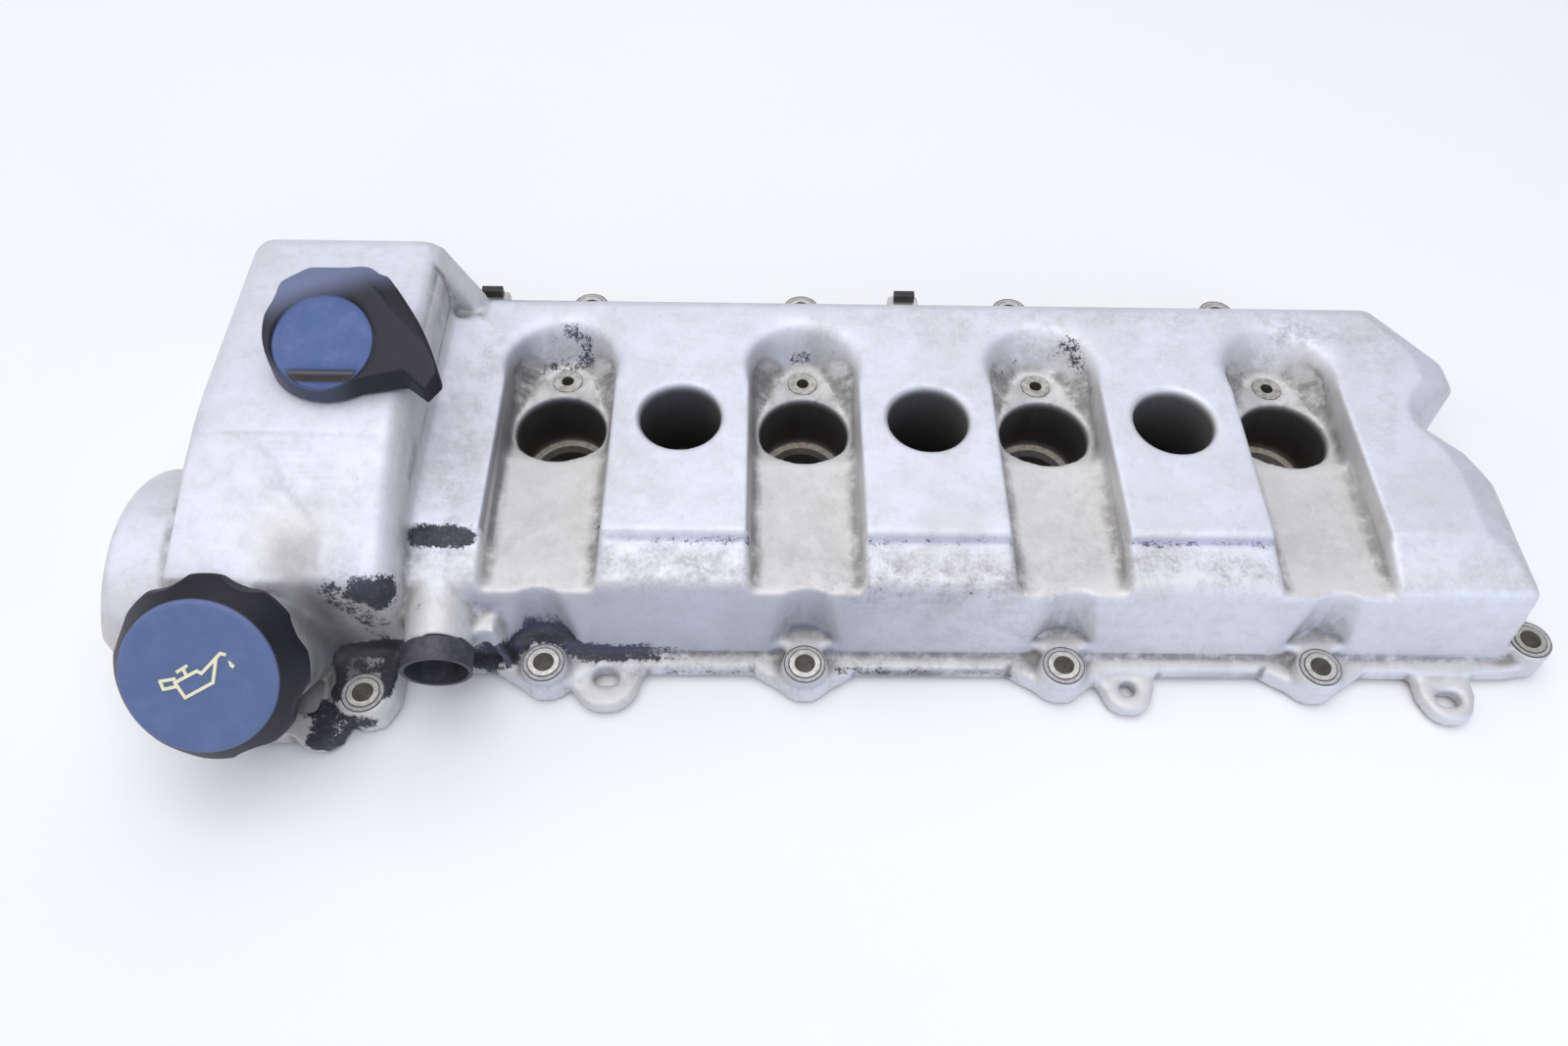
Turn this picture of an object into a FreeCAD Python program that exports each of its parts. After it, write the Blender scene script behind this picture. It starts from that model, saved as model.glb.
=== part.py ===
import FreeCAD, Part
import os
import re
import Sketcher

# Cast engine valve cover with its seals, bolt sleeves, caps, breather end and baffle, in millimetres.
# X runs along the engine, Y from the front bolt row to the rear one, and Z up from the gasket face.
# The origin is the axis of the second front bolt, on the gasket face.

SIZES = {
    # Bolt layout
    "pitch": 100.0,
    "bolt_rows": 192.0,
    "rear_shift": 1.0,
    "corner_bolt_x": -66.0,
    "corner_bolt_y": -13.3,
    "right_bolt_x": 387.0,
    "right_bolt_y": 12.8,
    "rear_left_bolt_x": -99.0,
    "rear_right_bolt_x": 374.0,
    "rear_right_bolt_y": 170.0,
    # Flange, bosses and gasket
    "flange_thick": 8.0,
    "flange_width": 9.5,
    "boss_high": 14.0,
    "boss_r": 8.8,
    "boss_foot_r": 9.8,
    "sleeve_r": 5.9,
    "sleeve_bore_r": 4.0,
    "sleeve_proud": 0.6,
    "grommet_r": 8.1,
    "grommet_deep": 6.0,
    "grommet_proud": 0.3,
    "fit_gap": 0.05,
    "groove_inset": 1.2,
    "groove_wide": 3.0,
    "groove_deep": 4.0,
    "gasket_gap": 0.2,
    "gasket_proud": 1.0,
    # Housing section, across the engine
    "wall": 3.5,
    "front_foot_y": 7.5,
    "shoulder_y": 13.5,
    "shoulder_z": 46.5,
    "shoulder_r": 8.0,
    "bevel_top_z": 50.2,
    "step_y": 33.5,
    "step_run": 2.5,
    "deck_z": 52.5,
    "rear_edge_y": 157.5,
    "rear_foot_y": 182.0,
    # Right end of the housing, in plan at shoulder height
    "end_x": 376.0,
    "end_draft": 1.0,
    "end_shoulder_z": 44.5,
    "end_bevel": 20.0,
    "front_lobe_y": 66.0,
    "notch_y": 97.0,
    "notch_deep": 19.0,
    "notch_half": 9.0,
    "rear_lobe_front_y": 116.0,
    "rear_lobe_back_y": 130.0,
    "rear_corner_x": 350.5,
    "rear_corner_y": 165.0,
    # Coil wells
    "tray_half": 20.0,
    "tray_top_half": 22.5,
    "seat_z": 38.0,
    "seat_back_y": 132.0,
    "arch_back_y": 144.5,
    "ramp_start_y": 88.0,
    "ramp_end_y": 77.0,
    "ramp_top_z": 42.5,
    "coil_y": 95.0,
    "coil_hole_r": 18.2,
    "tube_wall": 3.2,
    "insert_y": 122.5,
    "insert_r": 6.0,
    "insert_bore_r": 2.6,
    "insert_long": 14.0,
    "tube_seal_r": 13.0,
    "seal_seat_high": 11.0,
    "seal_seat_wide": 1.4,
    # Middle holes between the coil wells
    "middle_y": 91.7,
    "middle_r": 16.2,
    "middle_seal_r": 12.0,
    "middle_rim": 1.4,
    # Bolt reliefs in the front wall
    "relief_r": 15.5,
    # Chain case dome, left of the wells
    "dome_left_x": -127.5,
    "dome_left_foot_x": -134.0,
    "dome_right_x": -49.5,
    "dome_right_foot_x": -46.5,
    "dome_z": 82.0,
    "dome_front_z": 59.0,
    "dome_front_y": 2.5,
    "dome_knee_y": 37.0,
    "dome_knee_z": 74.5,
    "dome_flat_y": 58.0,
    "dome_rear_y": 163.0,
    "dome_edge_r": 9.0,
    "lobe_front_z": 64.5,
    "lobe_front_r": 94.0,
    "lobe_rear_r": 400.0,
    "skirt_x": -38.0,
    # Cam housing bulge on the left end
    "bulge_y": 30.0,
    "bulge_z": 10.0,
    "bulge_r": 51.5,
    "bulge_end_x": -154.0,
    "bulge_edge_r": 7.0,
    # Plan of the cavity at the gasket face
    "cavity_front_y": 11.0,
    "cavity_rear_y": 181.0,
    "cavity_left_x": -130.5,
    "cavity_bulge_x": -150.5,
    "cavity_bulge_y": 76.0,
    "cavity_neck_y": -18.0,
    "cavity_neck_x": -84.0,
    "cavity_corner": 14.0,
    # Oil filler neck and cap, on a slanted axis
    "neck_x": -106.2,
    "neck_y": -20.2,
    "neck_z": 48.2,
    "neck_tilt": 46.5,
    "neck_inset": 6.0,
    "neck_wall": 7.5,
    "cap_r": 33.5,
    "cap_face_r": 26.3,
    "cap_high": 14.5,
    "cap_lift": 60.0,
    "cap_gap": 0.3,
    "cap_wall": 3.0,
    "cap_scallop_r": 22.0,
    "cap_scallop_deep": 2.4,
    "cap_seal_high": 2.5,
    "cap_spigot_long": 14.0,
    "cap_flange": 2.0,
    "symbol_size": 1.0,
    "symbol_line": 1.1,
    "symbol_high": 0.3,
    # Breather tube
    "tube_x": -35.5,
    "tube_y": -12.6,
    "tube_z": 29.0,
    "tube_dip": 6.0,
    "tube_yaw": 4.0,
    "tube_r": 12.3,
    "tube_bore_r": 9.6,
    "tube_long": 36.0,
    "fairing_dip": 13.0,
    "fairing_long": 42.0,
    "ring_r": 13.0,
    "ring_bore_r": 11.5,
    "ring_long": 9.0,
    "ring_lip": 1.2,
    "ring_spigot": 8.0,
    "web_thick": 3.0,
    # Lever cap on the dome
    "lever_x": -78.5,
    "lever_y": 94.3,
    "lever_r": 24.2,
    "lever_high": 24.8,
    "lever_plug_inset": 10.0,
    "thumb_r": 18.4,
    "thumb_tilt": 22.7,
    "thumb_x": -0.9,
    "thumb_y": -5.9,
    "thumb_z": 13.6,
    "thumb_rim": 1.6,
    "scoop_deep": 2.6,
    "lever_plug_long": 12.0,
    "lever_gap": 0.3,
    "lever_seal_high": 1.6,
    # Lugs along the front flange
    "lug_thick": 6.0,
    "lug_r": 10.0,
    "lug_wide_r": 13.2,
    "lug_slot_long": 10.0,
    "lug_slot_half": 3.3,
    # Baffle under the oil filler and the dome
    "baffle_z": 18.0,
    "baffle_thick": 1.5,
    "baffle_left_x": -112.0,
    "baffle_right_x": -40.0,
    "baffle_front_y": 42.0,
    "baffle_rear_y": 92.0,
    "post_r": 5.0,
    "screw_r": 2.5,
    "screw_head_r": 4.5,
    "screw_long": 9.0,
    # Clips on the rear wall
    "right_clip_x": 145.3,
    "left_clip_x": -36.4,
    "clip_wide": 12.0,
    "clip_z": 43.5,
    "clip_y": 171.0,
    "clip_deep": 7.0,
    "clip_high": 3.5,
}

doc = FreeCAD.newDocument("valve_cover")
sheet = doc.addObject("Spreadsheet::Sheet", "sizes")
for row, (alias, number) in enumerate(SIZES.items(), start=1):
    sheet.set(f"A{row}", alias)
    sheet.set(f"B{row}", str(number))
    sheet.setAlias(f"B{row}", alias)
doc.recompute()

NAME = re.compile(r"\b([a-z][a-z0-9_]*)\b(?!\s*\()")
pieces = []


def formula(text):
    """Write a formula of size names so that it points at the sheet."""
    return NAME.sub(r"sizes.\1", str(text))


def worth(text):
    """The number that a formula has now."""
    return float(sheet.evalExpression(formula(text)))


def place(thing, x="0", y="0", z="0", roll="0", yaw="0"):
    """Bind a thing's place: a roll about X, then a yaw about Z, then a move."""
    turned_by = f"rotation({formula(yaw)}; 0; {formula(roll)})"
    moved_by = f"vector({formula(x)}; {formula(y)}; {formula(z)})"
    thing.setExpression("Placement", f"placement({moved_by}; {turned_by})")


def new(kind, label):
    thing = doc.addObject(kind, label)
    thing.Label = label
    return thing


def box(label, x, y, z, long, wide, high):
    thing = new("Part::Box", label)
    thing.setExpression("Length", formula(long))
    thing.setExpression("Width", formula(wide))
    thing.setExpression("Height", formula(high))
    place(thing, x, y, z)
    return thing


def rod(label, x, y, z, radius, high, roll="0", yaw="0"):
    thing = new("Part::Cylinder", label)
    thing.setExpression("Radius", formula(radius))
    thing.setExpression("Height", formula(high))
    place(thing, x, y, z, roll, yaw)
    return thing


def cone(label, x, y, z, foot, top, high):
    thing = new("Part::Cone", label)
    thing.setExpression("Radius1", formula(foot))
    thing.setExpression("Radius2", formula(top))
    thing.setExpression("Height", formula(high))
    place(thing, x, y, z)
    return thing


def cut(label, base, tool):
    thing = new("Part::Cut", label)
    thing.Base = base
    thing.Tool = tool
    return thing


def join(label, things):
    thing = new("Part::MultiFuse", label)
    thing.Shapes = things
    thing.Refine = True
    return thing


def common(label, one, other):
    thing = new("Part::Common", label)
    thing.Base = one
    thing.Tool = other
    return thing


def trace(sketch, corners):
    """Draw a closed outline, anticlockwise. A corner is x, y, and for a bend also the bend's centre."""
    points = [FreeCAD.Vector(worth(corner[0]), worth(corner[1]), 0) for corner in corners]
    count = len(corners)
    for index, corner in enumerate(corners):
        here = points[index]
        there = points[(index + 1) % count]
        if len(corner) == 2:
            sketch.addGeometry(Part.LineSegment(here, there))
        else:
            centre = FreeCAD.Vector(worth(corner[2]), worth(corner[3]), 0)
            circle = Part.Circle(centre, FreeCAD.Vector(0, 0, 1), (here - centre).Length)
            sketch.addGeometry(Part.ArcOfCircle(circle, circle.parameter(here), circle.parameter(there)))
    for index in range(count):
        sketch.addConstraint(Sketcher.Constraint("Coincident", index, 2, (index + 1) % count, 1))
    for index, corner in enumerate(corners):
        hold(sketch, "DistanceX", index, 1, corner[0])
        hold(sketch, "DistanceY", index, 1, corner[1])
        if len(corner) > 2:
            chord = points[(index + 1) % count] - points[index]
            if abs(chord.x) > abs(chord.y):
                hold(sketch, "DistanceY", index, 3, corner[3])
            else:
                hold(sketch, "DistanceX", index, 3, corner[2])


def hold(sketch, kind, index, spot, text):
    """Fix one coordinate of a point of the outline to a formula."""
    number = sketch.addConstraint(Sketcher.Constraint(kind, -1, 1, index, spot, worth(text)))
    sketch.setExpression(f"Constraints[{number}]", formula(text))


def body_with_sketch(label, plane, corners):
    body = new("PartDesign::Body", label)
    sketch = body.newObject("Sketcher::SketchObject", label + "_outline")
    support = [feature for feature in body.Origin.OriginFeatures if feature.Role == plane][0]
    sketch.AttachmentSupport = [(support, "")]
    sketch.MapMode = "FlatFace"
    trace(sketch, corners)
    return body, sketch


def slab(label, plane, corners, long, x="0", y="0", z="0", roll="0", yaw="0"):
    """An outline made thick: along +Z from XY_Plane, +X from YZ_Plane, -Y from XZ_Plane."""
    body, sketch = body_with_sketch(label, plane, corners)
    pad = body.newObject("PartDesign::Pad", label + "_pad")
    pad.Profile = sketch
    pad.setExpression("Length", formula(long))
    place(body, x, y, z, roll, yaw)
    return body


def turned(label, corners, x="0", y="0", z="0", roll="0", yaw="0"):
    """A turned piece: its outline in radius and height, spun about its own Z."""
    body, sketch = body_with_sketch(label, "XZ_Plane", corners)
    spin = body.newObject("PartDesign::Revolution", label + "_spin")
    spin.Profile = sketch
    spin.ReferenceAxis = (sketch, ["V_Axis"])
    spin.Angle = 360.0
    place(body, x, y, z, roll, yaw)
    return body


def ring(label, inner, outer, foot, top, **where):
    """A plain ring, between two radii and two heights."""
    corners = [(inner, foot), (outer, foot), (outer, top), (inner, top)]
    return turned(label, corners, **where)


def flat_outline(label, corners, z):
    """A closed outline standing by itself at one height."""
    sketch = new("Sketcher::SketchObject", label)
    trace(sketch, corners)
    place(sketch, z=z)
    return sketch


def circle(label, x, y, z, radius, roll="0"):
    thing = new("Part::Circle", label)
    thing.setExpression("Radius", formula(radius))
    place(thing, x, y, z, roll)
    return thing


def loft(label, outlines):
    thing = new("Part::Loft", label)
    thing.Sections = outlines
    thing.Solid = True
    thing.Ruled = True
    return thing


def grown(label, outline, by):
    """An outline moved outwards, with round corners."""
    thing = new("Part::Offset2D", label)
    thing.Source = outline
    thing.setExpression("Value", formula(by))
    thing.Join = 0
    return thing


def raised(label, outline, high, drop="0"):
    """A flat outline made thick, upwards and by a drop downwards."""
    thing = new("Part::Extrusion", label)
    thing.Base = outline
    thing.DirMode = "Custom"
    thing.Dir = FreeCAD.Vector(0, 0, 1)
    thing.setExpression("LengthFwd", formula(high))
    thing.setExpression("LengthRev", formula(drop))
    thing.Solid = True
    return thing


def rounded(label, base, radius, wanted):
    """Round those edges of a thing that the test picks by their middle point."""
    doc.recompute()
    size = worth(radius)
    picked = []
    for index, edge in enumerate(base.Shape.Edges, start=1):
        middle = edge.valueAt((edge.FirstParameter + edge.LastParameter) / 2)
        if wanted(edge, middle):
            picked.append((index, size, size))
    thing = new("Part::Fillet", label)
    thing.Base = base
    thing.Edges = picked
    return thing


def along_x(edge):
    return abs(edge.tangentAt(edge.FirstParameter).x) > 0.999


def near(number, text):
    return abs(number - worth(text)) < 0.05


def piece(thing):
    """Mark a thing as one of the object's pieces."""
    pieces.append(thing)
    return thing


def cylinders():
    """The number of each coil well, and a formula of its place along the engine."""
    return [(index, f"{index} * pitch") for index in range(4)]


# Bolt places, as formulas

BOLTS = [("front_1", "corner_bolt_x", "corner_bolt_y")]
BOLTS += [(f"front_{index + 2}", along, "0") for index, along in cylinders()]
BOLTS += [("front_6", "right_bolt_x", "right_bolt_y")]
BOLTS += [("rear_1", "rear_left_bolt_x", "bolt_rows")]
BOLTS += [(f"rear_{index + 2}", f"{along} + rear_shift", "bolt_rows") for index, along in cylinders()]
BOLTS += [("rear_6", "rear_right_bolt_x", "rear_right_bolt_y")]


# Housing over the two camshafts

HOUSING_LEFT = "dome_right_x - 5"


def housing_section(label, inset, foot_front, foot_rear, foot):
    """The section across the engine, moved inwards by an inset."""
    return slab(label, "YZ_Plane", [
        (foot_front, foot),
        (foot_rear, foot),
        (foot_rear, "flange_thick"),
        (f"rear_edge_y - 0.5 * ({inset})", f"deck_z - ({inset})"),
        (f"step_y + step_run + ({inset})", f"deck_z - ({inset})"),
        (f"step_y + ({inset})", f"bevel_top_z - ({inset})"),
        (f"shoulder_y + ({inset})", f"shoulder_z - ({inset})"),
        (foot_front, "flange_thick"),
    ], f"end_x + 30 - ({HOUSING_LEFT})", x=HOUSING_LEFT)


def end_plan(label, z, lobe_in, notch_in, corner_in):
    """The plan of the right end: two cam lobes with a notch between them."""
    left = f"{HOUSING_LEFT} - 1"
    return flat_outline(label, [
        (left, "0 - bolt_rows"),
        (f"end_x - ({lobe_in})", "0 - bolt_rows"),
        (f"end_x - ({lobe_in})", "front_lobe_y"),
        (f"end_x - ({lobe_in}) * 0.9 - notch_deep * 0.3", "notch_y - notch_half - 8"),
        (f"end_x - ({notch_in}) - notch_deep", "notch_y - notch_half * 0.5"),
        (f"end_x - ({notch_in}) - notch_deep", "notch_y + notch_half * 0.4"),
        (f"end_x - ({lobe_in}) * 0.9 - notch_deep * 0.4", "notch_y + notch_half + 4"),
        (f"end_x - ({lobe_in})", "rear_lobe_front_y"),
        (f"end_x - ({lobe_in})", "rear_lobe_back_y"),
        (f"rear_corner_x - ({corner_in})", "rear_corner_y"),
        (f"rear_corner_x - ({corner_in}) - 8", "2 * bolt_rows"),
        (left, "2 * bolt_rows"),
    ], z)


def end_shape(label, inset):
    """The drafted right end, from the gasket face to above the deck."""
    rise = "deck_z - end_shoulder_z"
    levels = [
        end_plan(label + "_foot", "0 - 1", f"({inset}) - end_draft", f"({inset}) - end_draft", inset),
        end_plan(label + "_shoulder", f"end_shoulder_z - ({inset})", inset, inset, inset),
        end_plan(label + "_bend", f"end_shoulder_z + 0.5 * ({rise}) - ({inset})",
                 f"({inset}) + 0.25 * end_bevel", f"({inset}) + 0.15 * end_bevel", f"({inset}) + 0.2 * end_bevel"),
        end_plan(label + "_top", f"end_shoulder_z + 2 * ({rise}) - ({inset})",
                 f"({inset}) + 2 * end_bevel", f"({inset}) + end_bevel", f"({inset}) + 1.4 * end_bevel"),
    ]
    return loft(label, levels)


housing_bar = housing_section("housing_bar", "0", "front_foot_y", "rear_foot_y", "0")
housing_soft = rounded("housing_soft", housing_bar, "shoulder_r", lambda edge, middle: (
    along_x(edge) and near(middle.y, "shoulder_y") and near(middle.z, "shoulder_z")
    or along_x(edge) and near(middle.y, "rear_edge_y") and near(middle.z, "deck_z")))
housing = common("housing", housing_soft, end_shape("end_shape", "0"))
housing_room_bar = housing_section("housing_room_bar", "wall", "cavity_front_y", "cavity_rear_y", "0 - 5")
housing_room = common("housing_room", housing_room_bar, end_shape("end_room", "wall"))


# Chain case dome

def dome_shape(label, inset, foot_front, foot_rear, foot, rounding=None):
    """A hump: its section across the engine, between two drafted sides."""
    across = slab(label + "_across", "YZ_Plane", [
        (foot_front, foot),
        (foot_rear, foot),
        (f"dome_rear_y - ({inset})", f"dome_z - ({inset})"),
        (f"dome_flat_y + 0.2 * ({inset})", f"dome_z - ({inset})"),
        (f"dome_knee_y + 0.5 * ({inset})", f"dome_knee_z - ({inset})"),
        (f"dome_front_y + ({inset})", f"dome_front_z - 0.7 * ({inset})"),
    ], "dome_right_foot_x - dome_left_foot_x + 20", x="dome_left_foot_x - 10")
    if rounding:
        across = rounded(label + "_soft", across, rounding, lambda edge, middle: (
            along_x(edge) and middle.z > worth("flange_thick")))
    along = slab(label + "_along", "XZ_Plane", [
        (f"dome_left_foot_x + ({inset})", foot),
        (f"dome_right_foot_x - ({inset})", foot),
        (f"dome_right_x - ({inset})", "dome_z + 2"),
        (f"dome_left_x + ({inset})", "dome_z + 2"),
    ], "bolt_rows + 80", y="bolt_rows + 40")
    return common(label, across, along)


dome_sharp = dome_shape("dome_sharp", "0", "front_foot_y", "rear_foot_y", "0", "dome_edge_r")
dome = rounded("dome", dome_sharp, "dome_edge_r", lambda edge, middle: (
    middle.z > worth("flange_thick") and not along_x(edge)))
dome_room = dome_shape("dome_room", "wall", "cavity_front_y", "cavity_rear_y", "0 - 5")

lobe_bar = loft("lobe_bar", [
    circle("lobe_front", "neck_x - 8", "0", "lobe_front_z - lobe_front_r", "lobe_front_r", "90"),
    circle("lobe_rear", "neck_x - 8", "dome_flat_y", "dome_z - lobe_rear_r", "lobe_rear_r", "90"),
])
lobe_limit = slab("lobe_limit", "XZ_Plane", [
    ("dome_left_x", "shoulder_z"),
    ("dome_right_x - dome_edge_r", "shoulder_z"),
    ("dome_right_x - dome_edge_r", "dome_z"),
    ("dome_left_x + 3", "dome_z"),
], "dome_flat_y - dome_front_y - 1", y="dome_flat_y")
lobe = common("lobe", lobe_bar, lobe_limit)
skirt = slab("skirt", "XZ_Plane", [
    (HOUSING_LEFT, "deck_z - wall"),
    ("skirt_x", "deck_z - wall"),
    ("skirt_x", "deck_z + 0.3"),
    ("dome_right_x - 1", "deck_z + 4"),
    (HOUSING_LEFT, "deck_z + 4"),
], "dome_rear_y - 20 - step_y - step_run", y="dome_rear_y - 20")
rear_flare = slab("rear_flare", "XZ_Plane", [
    (HOUSING_LEFT, "deck_z - wall"),
    ("skirt_x + 1", "deck_z - wall"),
    ("skirt_x + 0.5", "deck_z"),
    ("dome_right_x - 1", "dome_z - 3"),
    (HOUSING_LEFT, "dome_z - 3"),
], "12", y="dome_rear_y - 2")


# Cam housing bulge on the left end

def corner_wedge(label, out):
    """Cuts off the front left corner of the bulge, some way out from the cavity's corner."""
    left = f"cavity_bulge_x - ({out}) - 10"
    front = "cavity_neck_y - 10"
    return slab(label, "XY_Plane", [
        (left, "cavity_neck_y + cavity_corner + 10"),
        (left, front),
        (f"{left} + cavity_corner + 20", front),
    ], "bulge_z + bulge_r + 20", z="0 - 10")


bulge_bar = slab("bulge_bar", "YZ_Plane", [
    ("bulge_y - bulge_r", "bulge_z"),
    ("bulge_y - bulge_r", "0"),
    ("bulge_y + bulge_r", "0"),
    ("bulge_y + bulge_r", "bulge_z", "bulge_y", "bulge_z"),
], "dome_left_x + 4 - bulge_end_x", x="bulge_end_x")
bulge_soft = rounded("bulge_soft", bulge_bar, "bulge_edge_r", lambda edge, middle: (
    near(middle.x, "bulge_end_x") and middle.z > worth("bulge_z") + 1))
bulge = cut("bulge", bulge_soft, corner_wedge("bulge_wedge", "1.4 * wall"))
bulge_room_bar = slab("bulge_room_bar", "YZ_Plane", [
    ("bulge_y - bulge_r + wall", "bulge_z"),
    ("bulge_y - bulge_r + wall", "0 - 5"),
    ("bulge_y + bulge_r - wall", "0 - 5"),
    ("bulge_y + bulge_r - wall", "bulge_z", "bulge_y", "bulge_z"),
], "dome_left_x + 4 - bulge_end_x", x="bulge_end_x + wall")
bulge_room = cut("bulge_room", bulge_room_bar, corner_wedge("room_wedge", "0"))


# Oil filler neck, on a slanted axis

NECK_R = "(cap_r - neck_inset)"
NECK_BORE_R = "(cap_r - neck_inset - neck_wall)"
NECK_LONG = "((neck_z + cap_r) / cos(neck_tilt))"


def on_neck(reach):
    """A point on the neck's axis, a reach above its mouth."""
    return {
        "x": "neck_x",
        "y": f"neck_y - ({reach}) * sin(neck_tilt)",
        "z": f"neck_z + ({reach}) * cos(neck_tilt)",
        "roll": "neck_tilt",
    }


below = box("below", "0 - 400", "0 - 400", "0 - 200", "1000", "1000", "200")
neck_rod = rod("neck_rod", radius=NECK_R, high=NECK_LONG, **on_neck("0 - " + NECK_LONG))
neck = cut("neck", neck_rod, below)
neck_bore = rod("neck_bore", radius=NECK_BORE_R, high=NECK_LONG + " + 1", **on_neck("0 - " + NECK_LONG))
cap_room = rod("cap_room", radius="cap_r + 1.5", high="cap_high + cap_lift", **on_neck("0"))


# Breather tube in the front wall

def on_tube(reach):
    """A point on the breather's axis, a reach inwards from its mouth."""
    run = f"({reach}) * cos(tube_dip)"
    return {
        "x": f"tube_x - {run} * sin(tube_yaw)",
        "y": f"tube_y + {run} * cos(tube_yaw)",
        "z": f"tube_z + ({reach}) * sin(tube_dip)",
        "roll": "tube_dip - 90",
        "yaw": "tube_yaw",
    }


tube = rod("tube", radius="tube_r", high="tube_long - ring_long", **on_tube("ring_long"))
fairing_at = on_tube("ring_long")
fairing_at["roll"] = "fairing_dip - 90"
fairing = rod("fairing", radius="tube_r", high="fairing_long", **fairing_at)
tube_bore = rod("tube_bore", radius="tube_bore_r", high="tube_long + 4", **on_tube("ring_long - 1"))
tube_step = rod("tube_step", radius="tube_r - ring_lip", high="ring_spigot + 1", **on_tube("ring_long - 1"))
ring_room = rod("ring_room", radius="ring_r + 1", high="ring_long + 2", **on_tube("0 - 2"))
tube_web = slab("tube_web", "XZ_Plane", [
    ("tube_x + 9", "33"),
    ("tube_x + 9", "19"),
    ("tube_x + 15.8", "26"),
    ("tube_x + 19", "10"),
    ("tube_x + 20", "0"),
    ("tube_x + 24", "0"),
    ("tube_x + 23", "10"),
    ("tube_x + 19.2", "33"),
], "11", y="front_foot_y + 6")
tube_fin = slab("tube_fin", "YZ_Plane", [
    ("front_foot_y + 4", "30"),
    ("front_foot_y - 4", "12"),
    ("front_foot_y - 4", "0"),
    ("front_foot_y + 4", "0"),
], "web_thick", x="tube_x - 21")


# Flange, bosses and lugs

cavity_plan = [
    ("cavity_neck_x", "cavity_front_y"),
    ("end_x + end_draft - wall", "cavity_front_y"),
    ("end_x + end_draft - wall", "rear_lobe_back_y"),
    ("rear_corner_x - wall", "cavity_rear_y"),
    ("cavity_left_x", "cavity_rear_y"),
    ("cavity_left_x", "cavity_bulge_y"),
    ("cavity_bulge_x", "cavity_bulge_y"),
    ("cavity_bulge_x", "cavity_neck_y + cavity_corner"),
    ("cavity_bulge_x + cavity_corner", "cavity_neck_y"),
    ("cavity_neck_x", "cavity_neck_y"),
]
cavity_outline = flat_outline("cavity_outline", cavity_plan, "0")
flange_outline = grown("flange_outline", cavity_outline, "flange_width")
flange = raised("flange", flange_outline, "flange_thick")
cavity_foot = raised("cavity_foot", flat_outline("cavity_foot_outline", cavity_plan, "0 - 5"), "flange_thick + 5")
groove_outside = raised("groove_outside", grown("groove_outer", cavity_outline, "groove_inset + groove_wide"),
                        "groove_deep")
groove_inside = raised("groove_inside", grown("groove_inner", cavity_outline, "groove_inset"), "groove_deep")
groove = cut("groove", groove_outside, groove_inside)

solids = [housing, dome, lobe, skirt, rear_flare, bulge, neck, tube, fairing, tube_web, tube_fin, flange]
for side in ("left", "right"):
    solids.append(box(f"clip_tab_{side}", f"{side}_clip_x - clip_wide / 2 - 1", "rear_edge_y - 6", "clip_z - 5",
                      "clip_wide + 2", "clip_y + 1 - rear_edge_y + 6", "5"))
for name, x, y in BOLTS:
    solids.append(cone(f"boss_{name}", x, y, "0", "boss_foot_r", "boss_r", "boss_high"))
for index, along in cylinders():
    solids.append(slab(f"flare_{index}", "XY_Plane", [
        ("0 - 2 * boss_foot_r", "cavity_front_y - flange_width"),
        ("0 - 0.8 * boss_foot_r", "0 - 0.6 * boss_foot_r"),
        ("0.8 * boss_foot_r", "0 - 0.6 * boss_foot_r"),
        ("2 * boss_foot_r", "cavity_front_y - flange_width"),
        ("0", "cavity_front_y"),
    ], "flange_thick", x=along))
solids.append(slab("corner_pad", "XY_Plane", [
    ("corner_bolt_x - 13", "corner_bolt_y"),
    ("corner_bolt_x + 11", "corner_bolt_y"),
    ("corner_bolt_x + 11", "front_foot_y + 3"),
    ("corner_bolt_x - 13", "front_foot_y + 3"),
], "boss_high - 0.5"))
solids.append(slab("corner_pad_front", "XY_Plane", [
    ("corner_bolt_x - 13", "corner_bolt_y"),
    ("corner_bolt_x - 7", "corner_bolt_y - 8"),
    ("corner_bolt_x + 7", "corner_bolt_y - 8"),
    ("corner_bolt_x + 11", "corner_bolt_y"),
], "boss_high - 0.5"))
solids.append(rod("corner_ear", "corner_bolt_x - 16", "corner_bolt_y - 9", "0", "boss_foot_r", "flange_thick"))
solids.append(slab("right_ear", "XY_Plane", [
    ("end_x - 2", "cavity_front_y - flange_width"),
    ("right_bolt_x", "right_bolt_y - boss_foot_r"),
    ("right_bolt_x + boss_foot_r", "right_bolt_y"),
    ("right_bolt_x", "right_bolt_y + boss_foot_r"),
    ("end_x - 2", "right_bolt_y + 2 * boss_foot_r"),
], "flange_thick"))
solids.append(slab("rear_ear", "XY_Plane", [
    ("rear_corner_x", "rear_right_bolt_y"),
    ("end_x - 4", "rear_lobe_back_y"),
    ("end_x + end_draft + 5", "rear_lobe_back_y"),
    ("rear_right_bolt_x + boss_foot_r", "rear_right_bolt_y"),
    ("rear_right_bolt_x", "rear_right_bolt_y + boss_foot_r"),
    ("rear_corner_x", "cavity_rear_y + flange_width"),
], "flange_thick"))

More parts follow.
